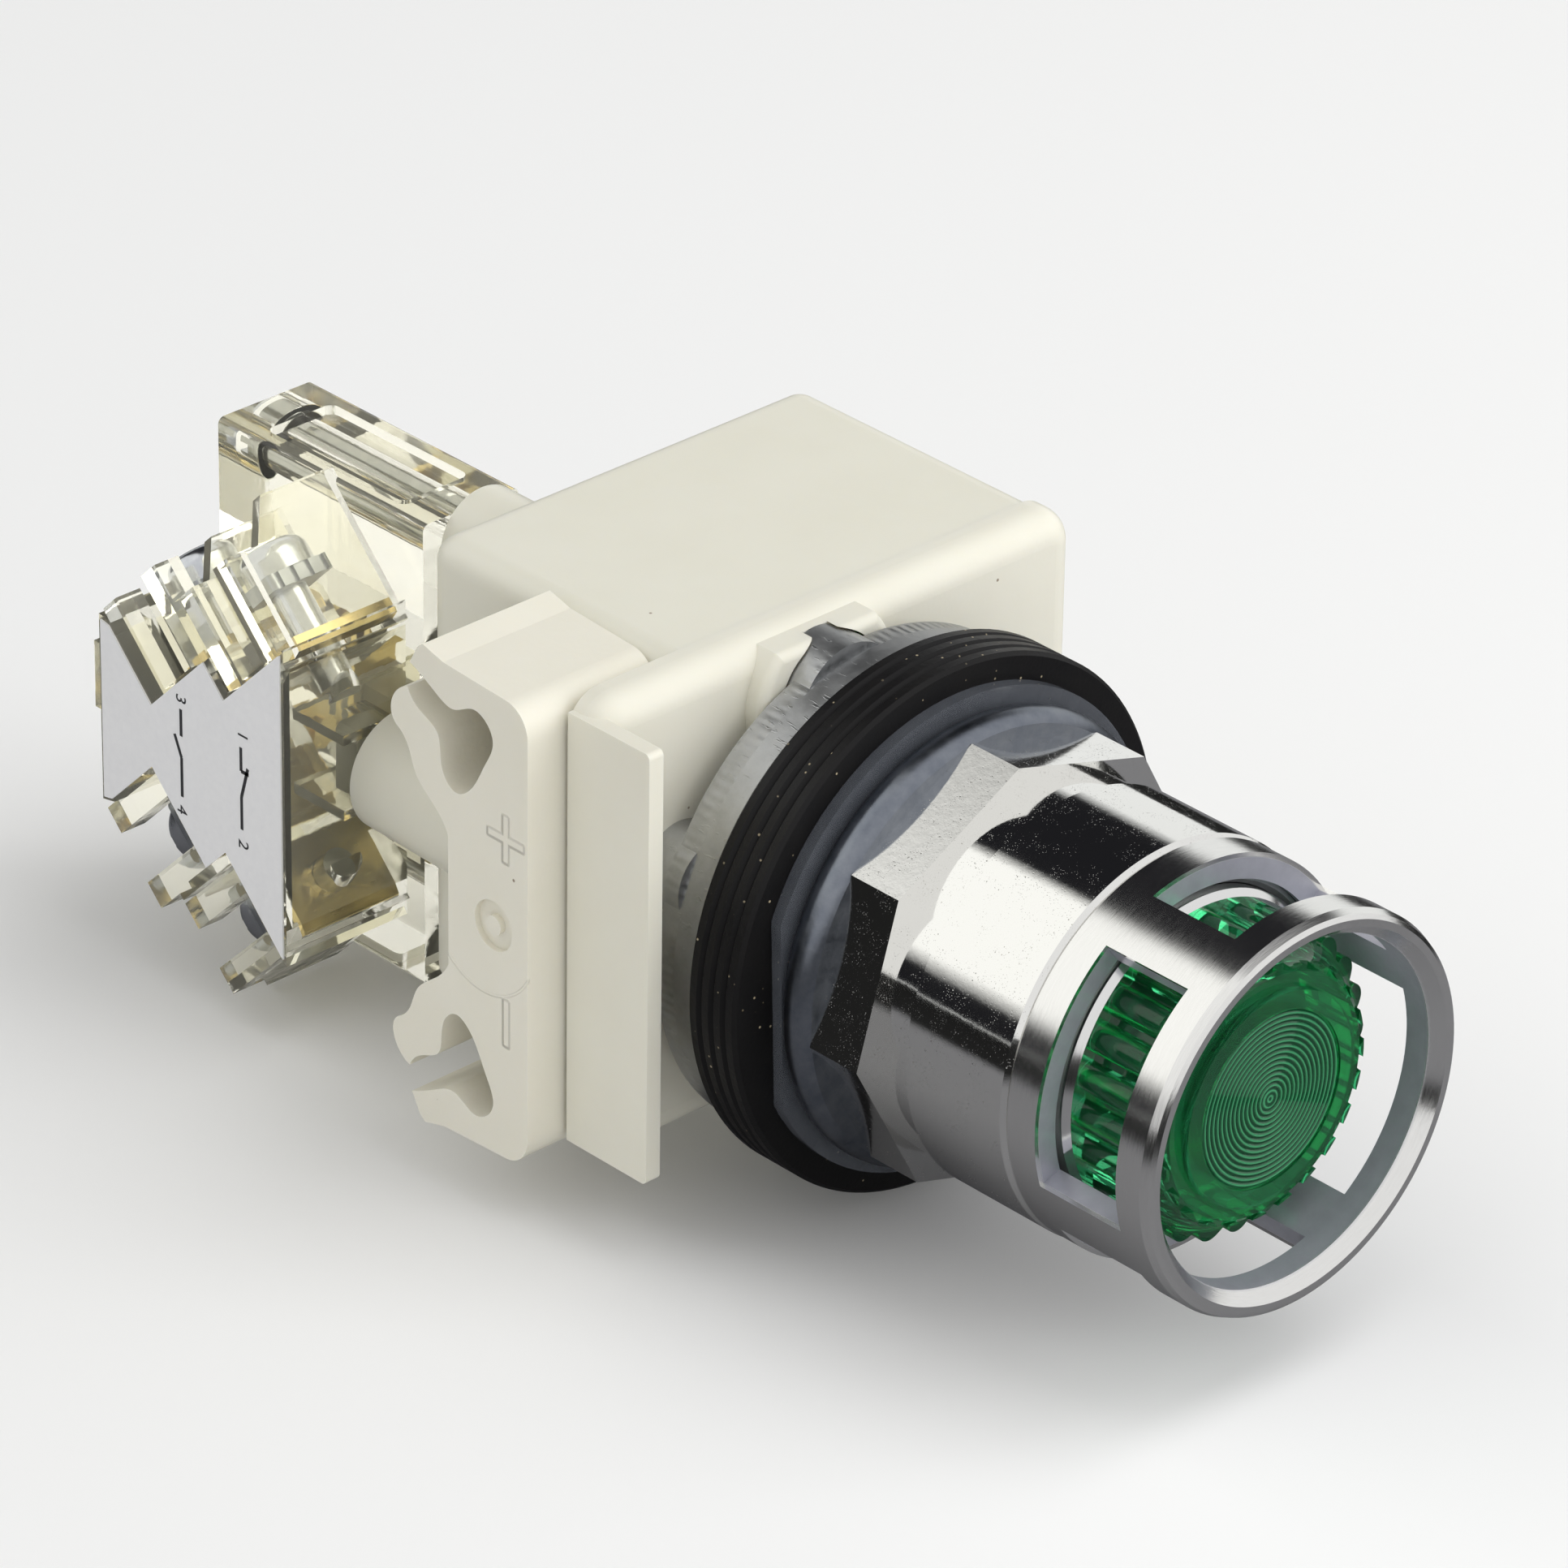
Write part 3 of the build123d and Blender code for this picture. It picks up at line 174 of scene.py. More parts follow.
# %% A finish
class Finish:
    """A material built round one Principled shader."""

    def __init__(self, name, colour, roughness=0.5, metallic=0.0, **fixed):
        self.material = bpy.data.materials.new(name)
        self.material.use_nodes = True
        self.tree = self.material.node_tree
        self.shader = next(n for n in self.tree.nodes if n.type == "BSDF_PRINCIPLED")
        self.set("Base Color", (*colour, 1.0) if isinstance(colour, tuple) else colour)
        self.set("Roughness", roughness)
        self.set("Metallic", metallic)
        for socket, value in fixed.items():
            self.set(socket.replace("_", " "), value)
        self.place = Wire.node(self.tree, "ShaderNodeTexCoord", out="Object")

    def set(self, socket, value):
        if isinstance(value, Wire):
            self.tree.links.new(value.socket, self.shader.inputs[socket])
        else:
            self.shader.inputs[socket].default_value = value

    def stretched(self, x, y, z):
        """The place on the object, stretched along each axis."""
        settings = {"operation": "MULTIPLY"}
        return Wire.node(self.tree, "ShaderNodeVectorMath", settings, {0: self.place, 1: (x, y, z)})

    def noise(self, size, detail=3.0, roughness=0.5, place=None):
        """Cloudy noise whose patches are about size metres wide."""
        return Wire.node(self.tree, "ShaderNodeTexNoise", {}, {
            "Vector": place or self.place, "Scale": 1.0 / size,
            "Detail": detail, "Roughness": roughness,
        })

    def cells(self, size, place=None):
        """Distance to the nearest of scattered points about size metres apart."""
        return Wire.node(
            self.tree, "ShaderNodeTexVoronoi", {"feature": "F1"},
            {"Vector": place or self.place, "Scale": 1.0 / size},
        )

    def mix(self, factor, first, second):
        """A colour between two colours."""
        first = first if isinstance(first, Wire) else (*first, 1.0)
        second = second if isinstance(second, Wire) else (*second, 1.0)
        return Wire.node(
            self.tree, "ShaderNodeMix", {"data_type": "RGBA"},
            {"Factor_Float": factor, "A_Color": first, "B_Color": second}, out=2,
        )

    def steps(self, value, low, high):
        """0 below low, 1 above high, smooth between."""
        return Wire.node(
            self.tree, "ShaderNodeMapRange", {"interpolation_type": "SMOOTHSTEP"},
            {"Value": value, "From Min": low, "From Max": high, "To Min": 0.0, "To Max": 1.0},
        )

    def part(self, axis):
        """One coordinate of the place on the object, in metres."""
        index = "XYZ".index(axis)
        return Wire.node(self.tree, "ShaderNodeSeparateXYZ", {}, {"Vector": self.place}, out=index)

    def from_axis(self):
        """The distance from the button's axis, in metres."""
        x, z = self.part("X"), self.part("Z")
        return (x * x + z * z) ** 0.5

    def bump(self, height, depth, strength=1.0):
        """Relief: height is 0 to 1 and depth is its real depth in metres."""
        inputs = {"Height": height, "Distance": depth, "Strength": strength}
        self.set("Normal", Wire.node(self.tree, "ShaderNodeBump", {}, inputs))


def add_piece(name, data, body=None):
    """Puts a mesh in the scene as a piece that rides a body, if one is named."""
    piece = bpy.data.objects.new(name, data)
    bpy.context.collection.objects.link(piece)
    if body:
        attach(piece, body)
    print(name, "faces:", len(data.polygons))
    return piece


def wear(finish, *nodes):
    """Gives a finish to the named solids."""
    for name in nodes:
        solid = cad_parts[name]
        solid.data.materials.clear()
        solid.data.materials.append(finish.material)
    print(finish.material.name, "on", ", ".join(nodes))


# %% [markdown]
# The nut and its sleeve are bright nickel-chrome plating over a turned part. Up close the plating
# has patches of fine pits. They are made from the distance to scattered points, in two sizes, and
# a cloudy noise picks the patches where they show.

# %% Pitted chrome
nut_chrome = Finish("pitted_chrome", (0.93, 0.925, 0.9), metallic=1.0)
chosen = nut_chrome.steps(nut_chrome.noise(0.0015, 2.0), 0.42, 0.6)
large_pit = (1 - nut_chrome.steps(nut_chrome.cells(0.0005), 0.06, 0.15)) * chosen
small_pit = (1 - nut_chrome.steps(nut_chrome.cells(0.00017), 0.1, 0.22)) * chosen
pit = (large_pit + small_pit * 0.7).clamped()
smear = nut_chrome.noise(0.004, 5.0, 0.6)
peel = nut_chrome.noise(0.0007, 4.0, 0.6)
nut_chrome.set("Roughness", smear * 0.09 + pit * 0.35 + 0.03)
nut_chrome.set("Base Color", nut_chrome.mix(pit * 0.5, (0.93, 0.925, 0.9), (0.42, 0.4, 0.35)))
nut_chrome.bump((1 - pit) * 0.35 + peel * 0.18, 0.00003, 0.7)
wear(nut_chrome, "ring_nut")

# %% [markdown]
# The guard was brushed round its axis after turning. Brushing is noise that changes quickly along
# the axis and hardly at all around it, so highlights smear across the lines. Plating is thin
# inside: the bore and the walls of the windows stay satin, with a pale lilac tone.

# %% Brushed chrome
guard_chrome = Finish("brushed_chrome", (0.92, 0.915, 0.9), metallic=1.0)
lines = guard_chrome.noise(1.0, 3.0, 0.6, guard_chrome.stretched(900, 9000, 900))
coarse = guard_chrome.noise(0.0016, 4.0, 0.6)
rim_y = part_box("guard")[0][1]
behind_rim = guard_chrome.steps(guard_chrome.part("Y"), rim_y + 0.0009, rim_y + 0.0013)
inside = (1 - guard_chrome.steps(guard_chrome.from_axis(), 0.01575, 0.0159)) * behind_rim
brushed_tone = guard_chrome.mix(lines * 0.3, (0.94, 0.935, 0.92), (0.7, 0.69, 0.66))
satin_tone = guard_chrome.mix(coarse, (0.4, 0.4, 0.46), (0.56, 0.56, 0.63))
guard_chrome.set("Metallic", 1 - inside * 0.45)
guard_chrome.set("Roughness", lines * 0.16 + coarse * 0.06 + 0.06 + inside * 0.2)
guard_chrome.set("Base Color", guard_chrome.mix(inside, brushed_tone, satin_tone))
guard_chrome.bump(lines, 0.000012, 0.5)
wear(guard_chrome, "guard")

# %% [markdown]
# The skirt behind the lens is turned and plated like the guard, but finer. Only a little of it
# shows through the windows, so a faint grain round the axis is enough.

# %% Chrome of the skirt behind the lens
skirt_chrome = Finish("skirt_chrome", (0.88, 0.88, 0.87), metallic=1.0)
turning = skirt_chrome.noise(1.0, 2.0, 0.5, skirt_chrome.stretched(300, 7000, 300))
skirt_chrome.set("Roughness", turning * 0.12 + 0.08)
skirt_chrome.bump(turning, 0.00001, 0.4)
wear(skirt_chrome, "plunger")

# %% [markdown]
# The body behind the panel is cast zinc: dull and mottled, with shinier scratches. The rim of its
# flange is knurled. The knurl is a relief that repeats round the axis, so it needs the angle,
# which the arctangent of the two cross coordinates gives.

# %% Cast zinc
KNURL_RIDGES = 150
zinc = Finish("cast_zinc", (0.5, 0.51, 0.52), metallic=1.0)
mottle = zinc.noise(0.0022, 6.0, 0.65)
scratch = zinc.steps(zinc.noise(1.0, 2.0, 0.5, zinc.stretched(4200, 700, 900)), 0.62, 0.72)
angle = zinc.place.math("ARCTAN2", zinc.part("Z"), zinc.part("X"))
worn = zinc.steps(zinc.noise(0.003, 2.0), 0.35, 0.65)
ridge = (angle.math("SINE", angle * KNURL_RIDGES) * 0.5 + 0.5) * worn
along = zinc.part("Y")
band = zinc.steps(along, 0.0027, 0.0030) * (1 - zinc.steps(along, 0.0045, 0.0048))
zinc.set("Base Color", zinc.mix(mottle, (0.34, 0.345, 0.35), (0.66, 0.67, 0.68)))
zinc.set("Roughness", (mottle * 0.3 + 0.3 - scratch * 0.15).clamped())
zinc.bump(mottle * 0.35 + ridge * band * 0.7 + scratch * 0.2, 0.00012, 0.8)
wear(zinc, "operator_body")

# %% [markdown]
# The thrust ring in front of the washers is zinc as well, but passivated: darker and bluish.

# %% Thrust ring
dark_zinc = Finish("passivated_zinc", (0.2, 0.22, 0.26), metallic=1.0)
stain = dark_zinc.noise(0.0018, 5.0, 0.6)
dark_zinc.set("Base Color", dark_zinc.mix(stain, (0.12, 0.14, 0.18), (0.36, 0.38, 0.42)))
dark_zinc.set("Roughness", stain * 0.25 + 0.2)
dark_zinc.bump(stain, 0.00006, 0.5)
wear(dark_zinc, "thrust_ring")

# %% [markdown]
# The washers are black rubber with a weak shine, and straw-coloured specks of lint cling to them
# in places. The clear plastic washer beside them lets light through and is slightly hazy.

# %% Rubber and the clear washer
rubber = Finish("black_rubber", (0.005, 0.005, 0.006), Specular_IOR_Level=0.25)
bloom = rubber.noise(0.003, 5.0, 0.6)
speckled = rubber.steps(rubber.noise(0.004, 2.0), 0.45, 0.55)
lint = (1 - rubber.steps(rubber.cells(0.0011), 0.06, 0.12)) * speckled
light_share = (bloom * 0.01 + lint * 0.8).clamped()
rubber.set("Base Color", rubber.mix(light_share, (0.004, 0.004, 0.005), (0.5, 0.42, 0.28)))
rubber.set("Roughness", bloom * 0.25 + 0.32)
rubber.bump(rubber.noise(0.0004, 3.0), 0.00004, 0.5)
wear(rubber, "rubber_washer_1", "rubber_washer_2", "rubber_washer_3", "rubber_washer_4")

washer = Finish("clear_washer", (0.3, 0.33, 0.4), roughness=0.14, Transmission_Weight=0.85, IOR=1.4)
haze = washer.noise(0.002, 4.0)
washer.set("Base Color", washer.mix(haze, (0.36, 0.39, 0.46), (0.6, 0.64, 0.72)))
washer.bump(haze, 0.00004, 0.3)
wear(washer, "clear_washer")

# %% [markdown]
# The light module is moulded in ivory nylon. It looks plain but isn't flat: the surface has a
# faint orange-peel grain, soft clouds in the colour, and a few dark pits. A little light goes
# into such plastic and comes out again, which subsurface scattering does.

# %% Ivory mouldings
def ivory(name, colour, darker):
    """Moulded nylon in one of its tones."""
    finish = Finish(name, colour, Subsurface_Weight=0.12, Subsurface_Scale=0.0012, IOR=1.5)
    finish.set("Subsurface Radius", (1.0, 0.8, 0.5))
    clouds = finish.noise(0.007, 4.0, 0.55)
    speckled = finish.steps(finish.noise(0.009, 1.0), 0.55, 0.6)
    speck = (1 - finish.steps(finish.cells(0.0042), 0.02, 0.04)) * speckled
    tone = finish.mix(clouds, colour, darker)
    finish.set("Base Color", finish.mix(speck * 0.8, tone, (0.2, 0.12, 0.07)))
    finish.set("Roughness", finish.noise(0.0015, 3.0) * 0.14 + 0.3)
    finish.relief = finish.noise(0.0005, 3.0) * 0.6 + clouds * 0.4 - speck
    finish.bump(finish.relief, 0.00003, 0.45)
    return finish


housing_ivory = ivory("ivory_housing", (0.79, 0.775, 0.68), (0.75, 0.73, 0.62))
cover_ivory = ivory("ivory_cover", (0.8, 0.785, 0.69), (0.76, 0.735, 0.63))
terminal_ivory = ivory("ivory_terminal", (0.82, 0.795, 0.7), (0.78, 0.75, 0.64))
wear(housing_ivory, "module_housing", "pusher_bar", "push_rod")
wear(cover_ivory, "module_cover")
wear(terminal_ivory, "terminal_block")

# %% [markdown]
# The lens is moulded in green acrylic, clear enough to see its flutes from inside. A faint flow
# of the melt bends what is seen through it.

# %% Green lens
ACRYLIC_IOR = 1.49
lens_green = Finish("green_lens", (0.03, 0.42, 0.15), Transmission_Weight=0.9, IOR=ACRYLIC_IOR)
grain = lens_green.noise(0.0025, 3.0)
lens_green.set("Base Color", lens_green.mix(grain, (0.03, 0.4, 0.15), (0.07, 0.52, 0.22)))
lens_green.set("Roughness", grain * 0.05 + 0.01)
lens_green.bump(grain, 0.00004, 0.3)
wear(lens_green, "lens")

# %% [markdown]
# The front disc of the lens has fine concentric rings, which spread the lamp's light.
# They are real ridges here: one wavy line, from the dimple in the middle to the edge of the
# rings, is turned round the axis into a closed thin plate that sits on the disc. Their colour
# has a painted highlight on the crests and painted shade in the grooves.

# %% Rings of the lens
RING_FIRST = 0.0009
RING_PITCH = 0.00044
RING_COUNT = 14
RING_HEIGHT = 0.00017
RING_STEPS = 6
TURN_STEPS = 144
DISC_RECESS = 0.0007 / 3
SKIN = 0.00001
disc_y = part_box("lens")[0][1] + DISC_RECESS

ring_green = Finish("ring_green", (0.03, 0.4, 0.15), Transmission_Weight=0.55, IOR=ACRYLIC_IOR)
ring_phase = (ring_green.from_axis() - RING_FIRST) * (2 * math.pi / RING_PITCH)
# painted highlight on the ring crests, painted shade in the grooves between them
crest_highlight = 0.5 - ring_phase.math("COSINE", ring_phase) * 0.5
ring_green.set("Base Color", ring_green.mix(crest_highlight ** 2, (0.006, 0.09, 0.035), (0.1, 0.52, 0.24)))
ring_green.set("Roughness", ring_green.noise(0.0006, 2.0) * 0.06 + 0.03)

DIMPLE = [(0.0003, 0.00006), (0.0006, 0.00011)]
DIMPLE_FLOOR = 0.00004
wave = DIMPLE + [(RING_FIRST, SKIN)]
for step in range(1, RING_COUNT * RING_STEPS + 1):
    swing = 0.5 - 0.5 * math.cos(2 * math.pi * step / RING_STEPS)
    wave.append((RING_FIRST + RING_PITCH * step / RING_STEPS, SKIN + RING_HEIGHT * swing))
wave.append((wave[-1][0], -SKIN))
rings = bmesh.new()
loops = []
for reach, height in wave:
    loops.append([
        rings.verts.new((
            reach * math.cos(2 * math.pi * i / TURN_STEPS), disc_y - height,
            reach * math.sin(2 * math.pi * i / TURN_STEPS),
        ))
        for i in range(TURN_STEPS)
    ])
for inner_loop, outer_loop in zip(loops, loops[1:]):
    for i in range(TURN_STEPS):
        j = (i + 1) % TURN_STEPS
        rings.faces.new((inner_loop[i], outer_loop[i], outer_loop[j], inner_loop[j]))
for loop, height in ((loops[0], DIMPLE_FLOOR), (loops[-1], -SKIN)):
    middle = rings.verts.new((0, disc_y - height, 0))
    for i in range(TURN_STEPS):
        rings.faces.new((loop[i], loop[(i + 1) % TURN_STEPS], middle))
bmesh.ops.recalc_face_normals(rings, faces=rings.faces)
ring_data = bpy.data.meshes.new("lens_rings")
rings.to_mesh(ring_data)
rings.free()
ring_data.shade_smooth()
ring_data.materials.append(ring_green.material)
add_piece("lens_rings", ring_data, "button")

# %% [markdown]
# The contact block is clear polycarbonate with a yellow tint. Light passes through its walls and
# shows the brass and steel inside, so the solid keeps its real room and ribs, and the shader only
# has to transmit. The lamp's glass is clear too, without the tint.

# %% Clear plastic
clear_block = Finish("clear_polycarbonate", (0.98, 0.965, 0.86), Transmission_Weight=0.93, IOR=1.36)
flow = clear_block.noise(0.003, 3.0)
clear_block.set("Base Color", clear_block.mix(flow, (0.985, 0.97, 0.88), (0.95, 0.93, 0.79)))
clear_block.set("Roughness", flow * 0.06 + 0.01)
clear_block.bump(flow, 0.0001, 0.3)
wear(clear_block, "block_housing")

lamp_glass = Finish(
    "lamp_glass", (0.97, 0.98, 0.97), roughness=0.02, Transmission_Weight=1.0, IOR=1.45,
)
lamp_glass.bump(lamp_glass.noise(0.004, 2.0), 0.00005, 0.2)
wear(lamp_glass, "lamp_bulb")

# %% [markdown]
# The label is white plastic film stuck on the block's side. Film is nearly flat, so its finish is
# a weak cloud of tone and a hundredth of a millimetre of relief.

# %% Label stock
label_white = Finish("label_stock", (0.8, 0.8, 0.82), roughness=0.35)
fibre = label_white.noise(0.0006, 4.0)
label_white.set("Base Color", label_white.mix(fibre, (0.76, 0.76, 0.78), (0.84, 0.84, 0.85)))
label_white.bump(fibre, 0.00001, 0.3)
wear(label_white, "block_label")

# %% [markdown]
# Small metal parts: rolled brass with a grain along the strip, bright zinc plating on the screws,
# duller plating on the clamp plates, and a finish between them on the springs and the lamp base.

# %% Brass and steel
brass = Finish("rolled_brass", (0.78, 0.58, 0.22), metallic=1.0)
grain = brass.noise(1.0, 3.0, 0.6, brass.stretched(500, 3000, 3000))
tarnish = brass.noise(0.0025, 4.0)
brass.set("Base Color", brass.mix(tarnish, (0.95, 0.8, 0.42), (0.72, 0.55, 0.22)))
brass.set("Roughness", grain * 0.2 + 0.14)
brass.bump(grain, 0.00002, 0.4)
wear(brass, "nc_straps", "no_straps", "bridge_nc", "bridge_no", "lamp_terminal_plates")


def plated(name, bright, dark, rough):
    """Zinc plating: soft mottling over a reflecting base."""
    finish = Finish(name, bright, metallic=1.0)
    patches = finish.noise(0.0012, 5.0, 0.65)
    finish.set("Base Color", finish.mix(patches, bright, dark))
    finish.set("Roughness", patches * 0.25 + rough)
    finish.bump(finish.noise(0.0005, 3.0), 0.00003, 0.5)
    return finish


bright_plate = plated("bright_plating", (0.78, 0.8, 0.83), (0.5, 0.52, 0.56), 0.1)
dull_plate = plated("dull_plating", (0.55, 0.57, 0.6), (0.32, 0.34, 0.37), 0.25)
wire = plated("spring_wire", (0.6, 0.6, 0.62), (0.45, 0.45, 0.47), 0.2)
wear(bright_plate, "terminal_screws", "block_screws", "lamp_terminal_screws", "module_screws")
wear(dull_plate, "clamp_plates", "retaining_clip")
wear(wire, "return_spring", "contact_spring", "lamp_base")

# %% [markdown]
# The two springs get shorter when the button is pressed, so a rigid copy would be cut through by
# the button. Each is shown here by a copy of its own coil, with its place baked into the mesh,
# and the solid from the model is hidden.

# %% Copies of the springs
def coil(node):
    """A copy of a spring's coil, put in place of the hidden solid."""
    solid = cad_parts[node]
    data = solid.data.copy()
    data.transform(solid.matrix_world)
    piece = add_piece(node + "_coil", data)
    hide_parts(node)
    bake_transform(piece)


coil("return_spring")
coil("contact_spring")

# %% [markdown]
# The slider, lamp holder and lamp board hardly show, but light from the clear block falls on them.
# Each has a plain moulded or laminated look with a slight mottle.

# %% Inner plastics
def inner(name, colour, darker):
    """Plain technical plastic."""
    finish = Finish(name, colour, roughness=0.4)
    clouds = finish.noise(0.002, 4.0)
    finish.set("Base Color", finish.mix(clouds, colour, darker))
    finish.bump(clouds, 0.00002, 0.4)
    return finish


wear(inner("slider_plastic", (0.62, 0.62, 0.58), (0.52, 0.52, 0.48)), "contact_slider")
wear(inner("holder_plastic", (0.05, 0.05, 0.05), (0.03, 0.03, 0.03)), "lamp_holder")
wear(inner("board_laminate", (0.42, 0.3, 0.14), (0.34, 0.24, 0.1)), "lamp_board")

# %% [markdown]
# The label carries the two contact symbols with their terminal digits. Each stroke is a thin
# raised ribbon of ink: a box between two points, built in mesh code so that it can lie in the
# label's plane.

# %% Ink on the label
ink = Finish("print_ink", (0.02, 0.02, 0.022), roughness=0.45)
ink.set("Base Color", ink.mix(ink.noise(0.0005, 2.0), (0.015, 0.015, 0.018), (0.05, 0.05, 0.055)))
INK_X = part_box("block_label")[0][0] + 0.00001
INK_T = 0.00003


def ribbon(mesh, start, end, width):
    """A thin box between two points (y, z) of the label's plane."""
    start, end = Vector(start), Vector(end)
    along = (end - start).normalized()
    across = Vector((-along.y, along.x)) * width / 2
    corners = [start - across, end - across, end + across, start + across]
    outer = [mesh.verts.new((INK_X - INK_T, c.x, c.y)) for c in corners]
    inner_side = [mesh.verts.new((INK_X, c.x, c.y)) for c in corners]
    mesh.faces.new(outer)
    mesh.faces.new(inner_side[::-1])
    for i in range(4):
        mesh.faces.new((outer[i], inner_side[i], inner_side[(i + 1) % 4], outer[(i + 1) % 4]))


symbols = bmesh.new()
LINE = 0.00032
for start, end in (
    # open contact between 3 and 4
    ((0.0556, 0.0024), (0.0556, 0.0000)),
    ((0.0564, -0.0001), (0.0556, -0.0019)),
    ((0.0556, -0.0019), (0.0556, -0.0054)),
    # closed contact between 1 and 2
    ((0.0484, 0.0020), (0.0484, -0.0001)),
    ((0.0484, -0.0001), (0.0475, -0.0001)),
    ((0.0476, 0.0004), (0.0484, -0.0024)),
    ((0.0484, -0.0024), (0.0484, -0.0053)),
):
    ribbon(symbols, start, end, LINE)
bmesh.ops.recalc_face_normals(symbols, faces=symbols.faces)
symbol_data = bpy.data.meshes.new("contact_symbols")
symbols.to_mesh(symbol_data)
symbols.free()
symbol_data.materials.append(ink.material)
add_piece("contact_symbols", symbol_data, "base")

# %% [markdown]
# The digits name the terminals, and are turned to read down the label. A font gives their
# outlines, which become thin meshes as thick as the ink, so they need no picture.

# %% Digits on the label
FONT_SIZE_PER_HEIGHT = 1.4
DIGIT_HEIGHT = 0.0012


def digit(text, y, z, height):
    """A digit as a thin mesh on the label, its top towards the front."""
    curve = bpy.data.curves.new("digit_" + text, "FONT")
    curve.body = text
    curve.size = height * FONT_SIZE_PER_HEIGHT
    curve.extrude = INK_T / 2
    curve.align_x = "CENTER"
    curve.align_y = "CENTER"
    holder = bpy.data.objects.new("digit_" + text, curve)
    data = bpy.data.meshes.new_from_object(holder)
    bpy.data.objects.remove(holder)
    data.transform(Matrix((
        (0, 0, -1, INK_X - INK_T / 2),
        (0, -1, 0, y),
        (-1, 0, 0, z),
        (0, 0, 0, 1),
    )))
    data.materials.append(ink.material)
    add_piece("digit_" + text, data, "base")


for text, y, z in (
    ("3", 0.0556, 0.0033), ("4", 0.0557, -0.0066),
    ("1", 0.0482, 0.0031), ("2", 0.0483, -0.0066),
):
    digit(text, y, z, DIGIT_HEIGHT)

# %% [markdown]
# The lamp terminals are marked on the block's left face with a moulded plus and minus, and a
# shallow arc is left round the dished mark by the mould. They are only about a quarter of a
# millimetre high, so they are relief in the finish: soft-edged bars and a line of a circle,
# counted from the face's y and z.

# %% Moulded marks
mark_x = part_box("terminal_block")[0][0]
mark_y, mark_z = terminal_ivory.part("Y"), terminal_ivory.part("Z")
MARK_SLOPE = 0.00016


def bar(centre, half):
    """1 on a soft-edged bar of the face, 0 outside; centre and half size are (y, z)."""
    masks = []
    for place, middle, reach in zip((mark_y, mark_z), centre, half):
        away = (place - middle).math("ABSOLUTE", place - middle)
        masks.append(1 - terminal_ivory.steps(away, reach - MARK_SLOPE, reach + MARK_SLOPE))
    return masks[0] * masks[1]


PLUS_AT, MINUS_AT = (0.01324, 0.01022), (0.01319, -0.0056)
HALF_LONG, HALF_WIDE = 0.00205, 0.00036
ARC_AT, ARC_RADIUS = (0.0158, 0.0019), 0.00575

plus = bar(PLUS_AT, (HALF_LONG, HALF_WIDE))
plus = plus.math("MAXIMUM", plus, bar(PLUS_AT, (HALF_WIDE, HALF_LONG)))
minus = bar(MINUS_AT, (HALF_WIDE, HALF_LONG))
arc_y, arc_z = mark_y - ARC_AT[0], mark_z - ARC_AT[1]
arc_away = (arc_y * arc_y + arc_z * arc_z) ** 0.5 - ARC_RADIUS
arc_line = 1 - terminal_ivory.steps(arc_away.math("ABSOLUTE", arc_away), 0.00005, 0.00016)
arc = arc_line * (1 - terminal_ivory.steps(mark_z, -0.001, 0.0005))
on_face = 1 - terminal_ivory.steps(terminal_ivory.part("X"), mark_x + 0.0001, mark_x + 0.0003)
relief = ((plus + minus) + arc * 0.2) * on_face
terminal_ivory.bump(relief + terminal_ivory.relief * 0.1, 0.0003, 1.0)
print("relief on the block's left face at x", round(mark_x, 5))

# %% [markdown]
# A pale floor lies just under the object and catches its faint shadow. In the photograph the
# chrome mirrors a darker table, so the floor answers mirror rays, and only those, with grey near
# the object and black further off. That is a studio trick: the camera still sees it pale.

# %% Floor
floor_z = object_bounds()[0][2] - 0.0003
FLOOR_HALF = 3
floor_mesh = bmesh.new()
for x, y in ((-1, -1), (1, -1), (1, 1), (-1, 1)):
    x, y = x * FLOOR_HALF, y * FLOOR_HALF
    floor_mesh.verts.new((x, y, floor_z))
floor_mesh.faces.new(floor_mesh.verts)
floor_data = bpy.data.meshes.new("floor")
floor_mesh.to_mesh(floor_data)
floor_mesh.free()
floor = bpy.data.objects.new("floor", floor_data)
bpy.context.collection.objects.link(floor)
pale = Finish("pale_floor", (0.9, 0.9, 0.9), roughness=0.9, Specular_IOR_Level=0.0)
pale_tone = pale.mix(pale.noise(0.3, 2.0), (0.88, 0.88, 0.88), (0.92, 0.92, 0.92))
length = {"operation": "LENGTH"}
reach = Wire.node(pale.tree, "ShaderNodeVectorMath", length, {0: pale.place}, out=1)
table_tone = pale.mix(pale.steps(reach, 0.1, 0.14), (0.2, 0.2, 0.21), (0.015, 0.015, 0.015))
mirror_ray = Wire.node(pale.tree, "ShaderNodeLightPath", out="Is Glossy Ray")
passed = Wire.node(pale.tree, "ShaderNodeLightPath", out="Transmission Depth").clamped()
pale.set("Base Color", pale.mix(mirror_ray * (1 - passed), pale_tone, table_tone))
floor_data.materials.append(pale.material)
print("floor at", round(floor_z, 4))

# %% [markdown]
# Chrome is only as good as what it mirrors. The bands on the guard and sleeve were read off the
# photograph: going round the axis, a light strip low on the right, black above it, a wide white
# strip on the upper left, and black at the left horizon. The sky is painted in those strips by
# the angle round the Y axis, and is an even pale grey in front. The camera itself sees a plain
# near-white, and so does light that has passed through clear plastic, which would look muddy
# among the strips.

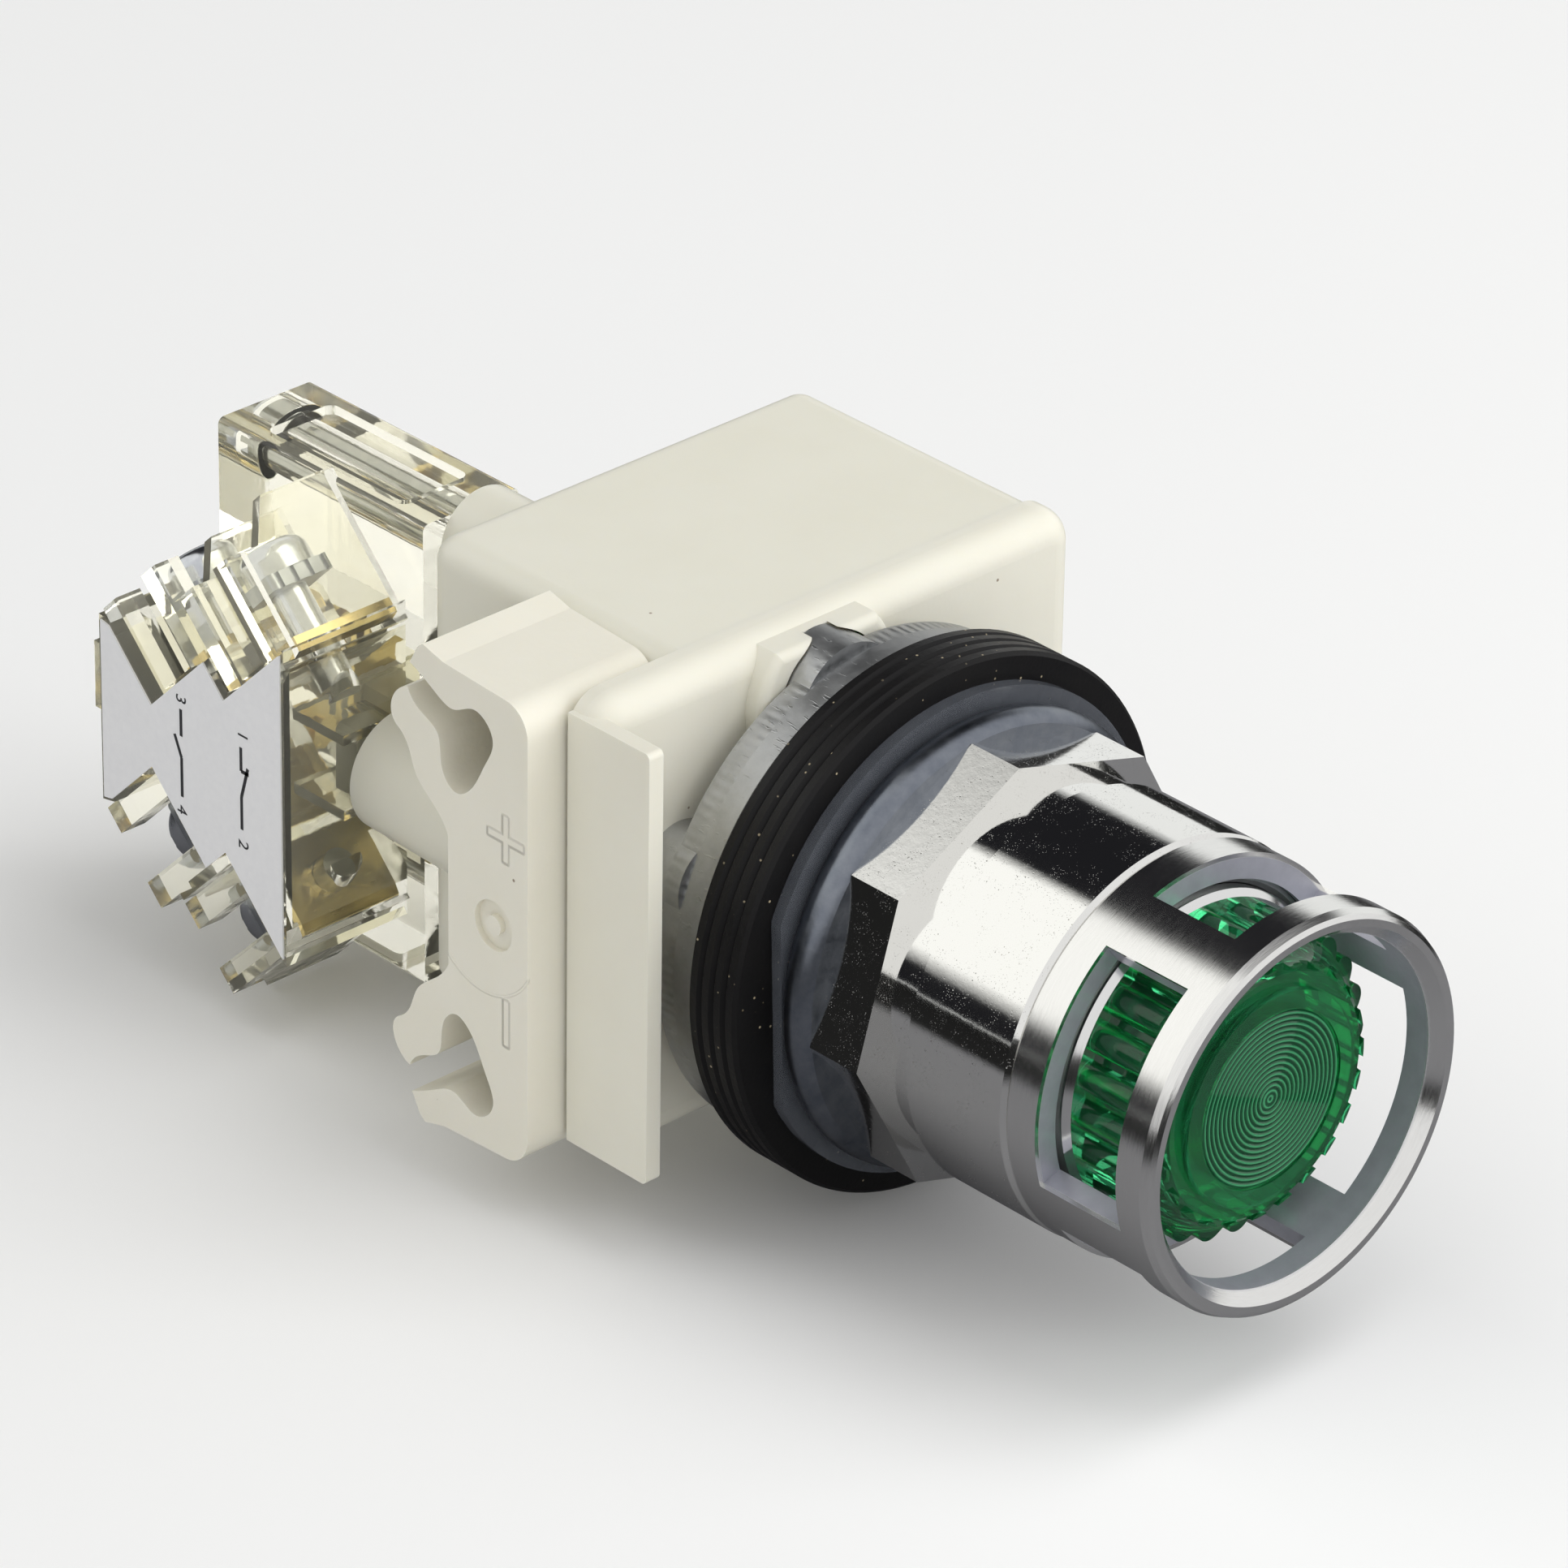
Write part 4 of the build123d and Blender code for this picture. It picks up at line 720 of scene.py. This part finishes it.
# %% Surroundings
world = bpy.data.worlds.new("studio")
bpy.context.scene.world = world
world.use_nodes = True
tree = world.node_tree
sky = next(n for n in tree.nodes if n.type == "BACKGROUND")
direction = Wire.node(tree, "ShaderNodeTexCoord", out="Generated")
split = {"Vector": direction}
sky_x = Wire.node(tree, "ShaderNodeSeparateXYZ", {}, split, out=0)
sky_y = Wire.node(tree, "ShaderNodeSeparateXYZ", {}, split, out=1)
sky_z = Wire.node(tree, "ShaderNodeSeparateXYZ", {}, split, out=2)
turn = sky_z.math("ARCTAN2", sky_z, sky_x) / math.pi
LIGHT, DARK, WHITE = (0.84, 0.85, 0.84), (0.012, 0.012, 0.014), (1.02, 1.02, 0.99)
strips = Wire.node(tree, "ShaderNodeValToRGB", {"stops": [
    (0.0, LIGHT), (0.16, LIGHT), (0.205, DARK), (0.51, DARK),
    (0.545, WHITE), (0.88, WHITE), (0.935, DARK), (1.0, DARK),
]}, {"Fac": turn})
in_front = Wire.node(
    tree, "ShaderNodeMapRange", {"interpolation_type": "SMOOTHSTEP"},
    {"Value": sky_y, "From Min": 0.2, "From Max": -0.25, "To Min": 0.0, "To Max": 1.0},
)
camera_ray = Wire.node(tree, "ShaderNodeLightPath", out="Is Camera Ray")
passes = Wire.node(tree, "ShaderNodeLightPath", out="Transmission Depth")
plain_ray = camera_ray.math("MAXIMUM", camera_ray, passes).clamped()
studio = Wire.node(
    tree, "ShaderNodeMix", {"data_type": "RGBA"},
    {"Factor_Float": in_front, "A_Color": strips, "B_Color": (0.8, 0.8, 0.8, 1.0)}, out=2,
)
seen = Wire.node(
    tree, "ShaderNodeMix", {"data_type": "RGBA"},
    {"Factor_Float": plain_ray, "A_Color": studio, "B_Color": (0.95, 0.95, 0.95, 1.0)}, out=2,
)
tree.links.new(seen.socket, sky.inputs["Color"])
sky.inputs["Strength"].default_value = 1.0
bpy.context.scene.view_settings.view_transform = "Standard"
print("sky strips:", len(tree.nodes), "nodes")

# %% [markdown]
# Large soft boxes light the plastics. They are hidden from mirror rays, so that they don't add
# bright patches to the chrome, whose reflections are the sky's strips.

# %% Soft boxes
def soft_light(name, place, target, size, power):
    """A soft box at place, facing target."""
    data = bpy.data.lights.new(name, "AREA")
    data.shape = "RECTANGLE"
    data.size, data.size_y = size
    data.energy = power
    lamp = bpy.data.objects.new(name, data)
    lamp.location = place
    lamp.rotation_euler = (Vector(target) - Vector(place)).to_track_quat("-Z", "Y").to_euler()
    lamp.visible_glossy = False
    bpy.context.collection.objects.link(lamp)
    print(name, "power", power)


soft_light("key_light", (0.2, -0.4, 0.8), (0, 0.01, 0), (0.7, 0.7), 3.2)
soft_light("fill_light", (0.5, -0.65, 0.3), (0, 0, 0), (0.6, 0.6), 2.4)
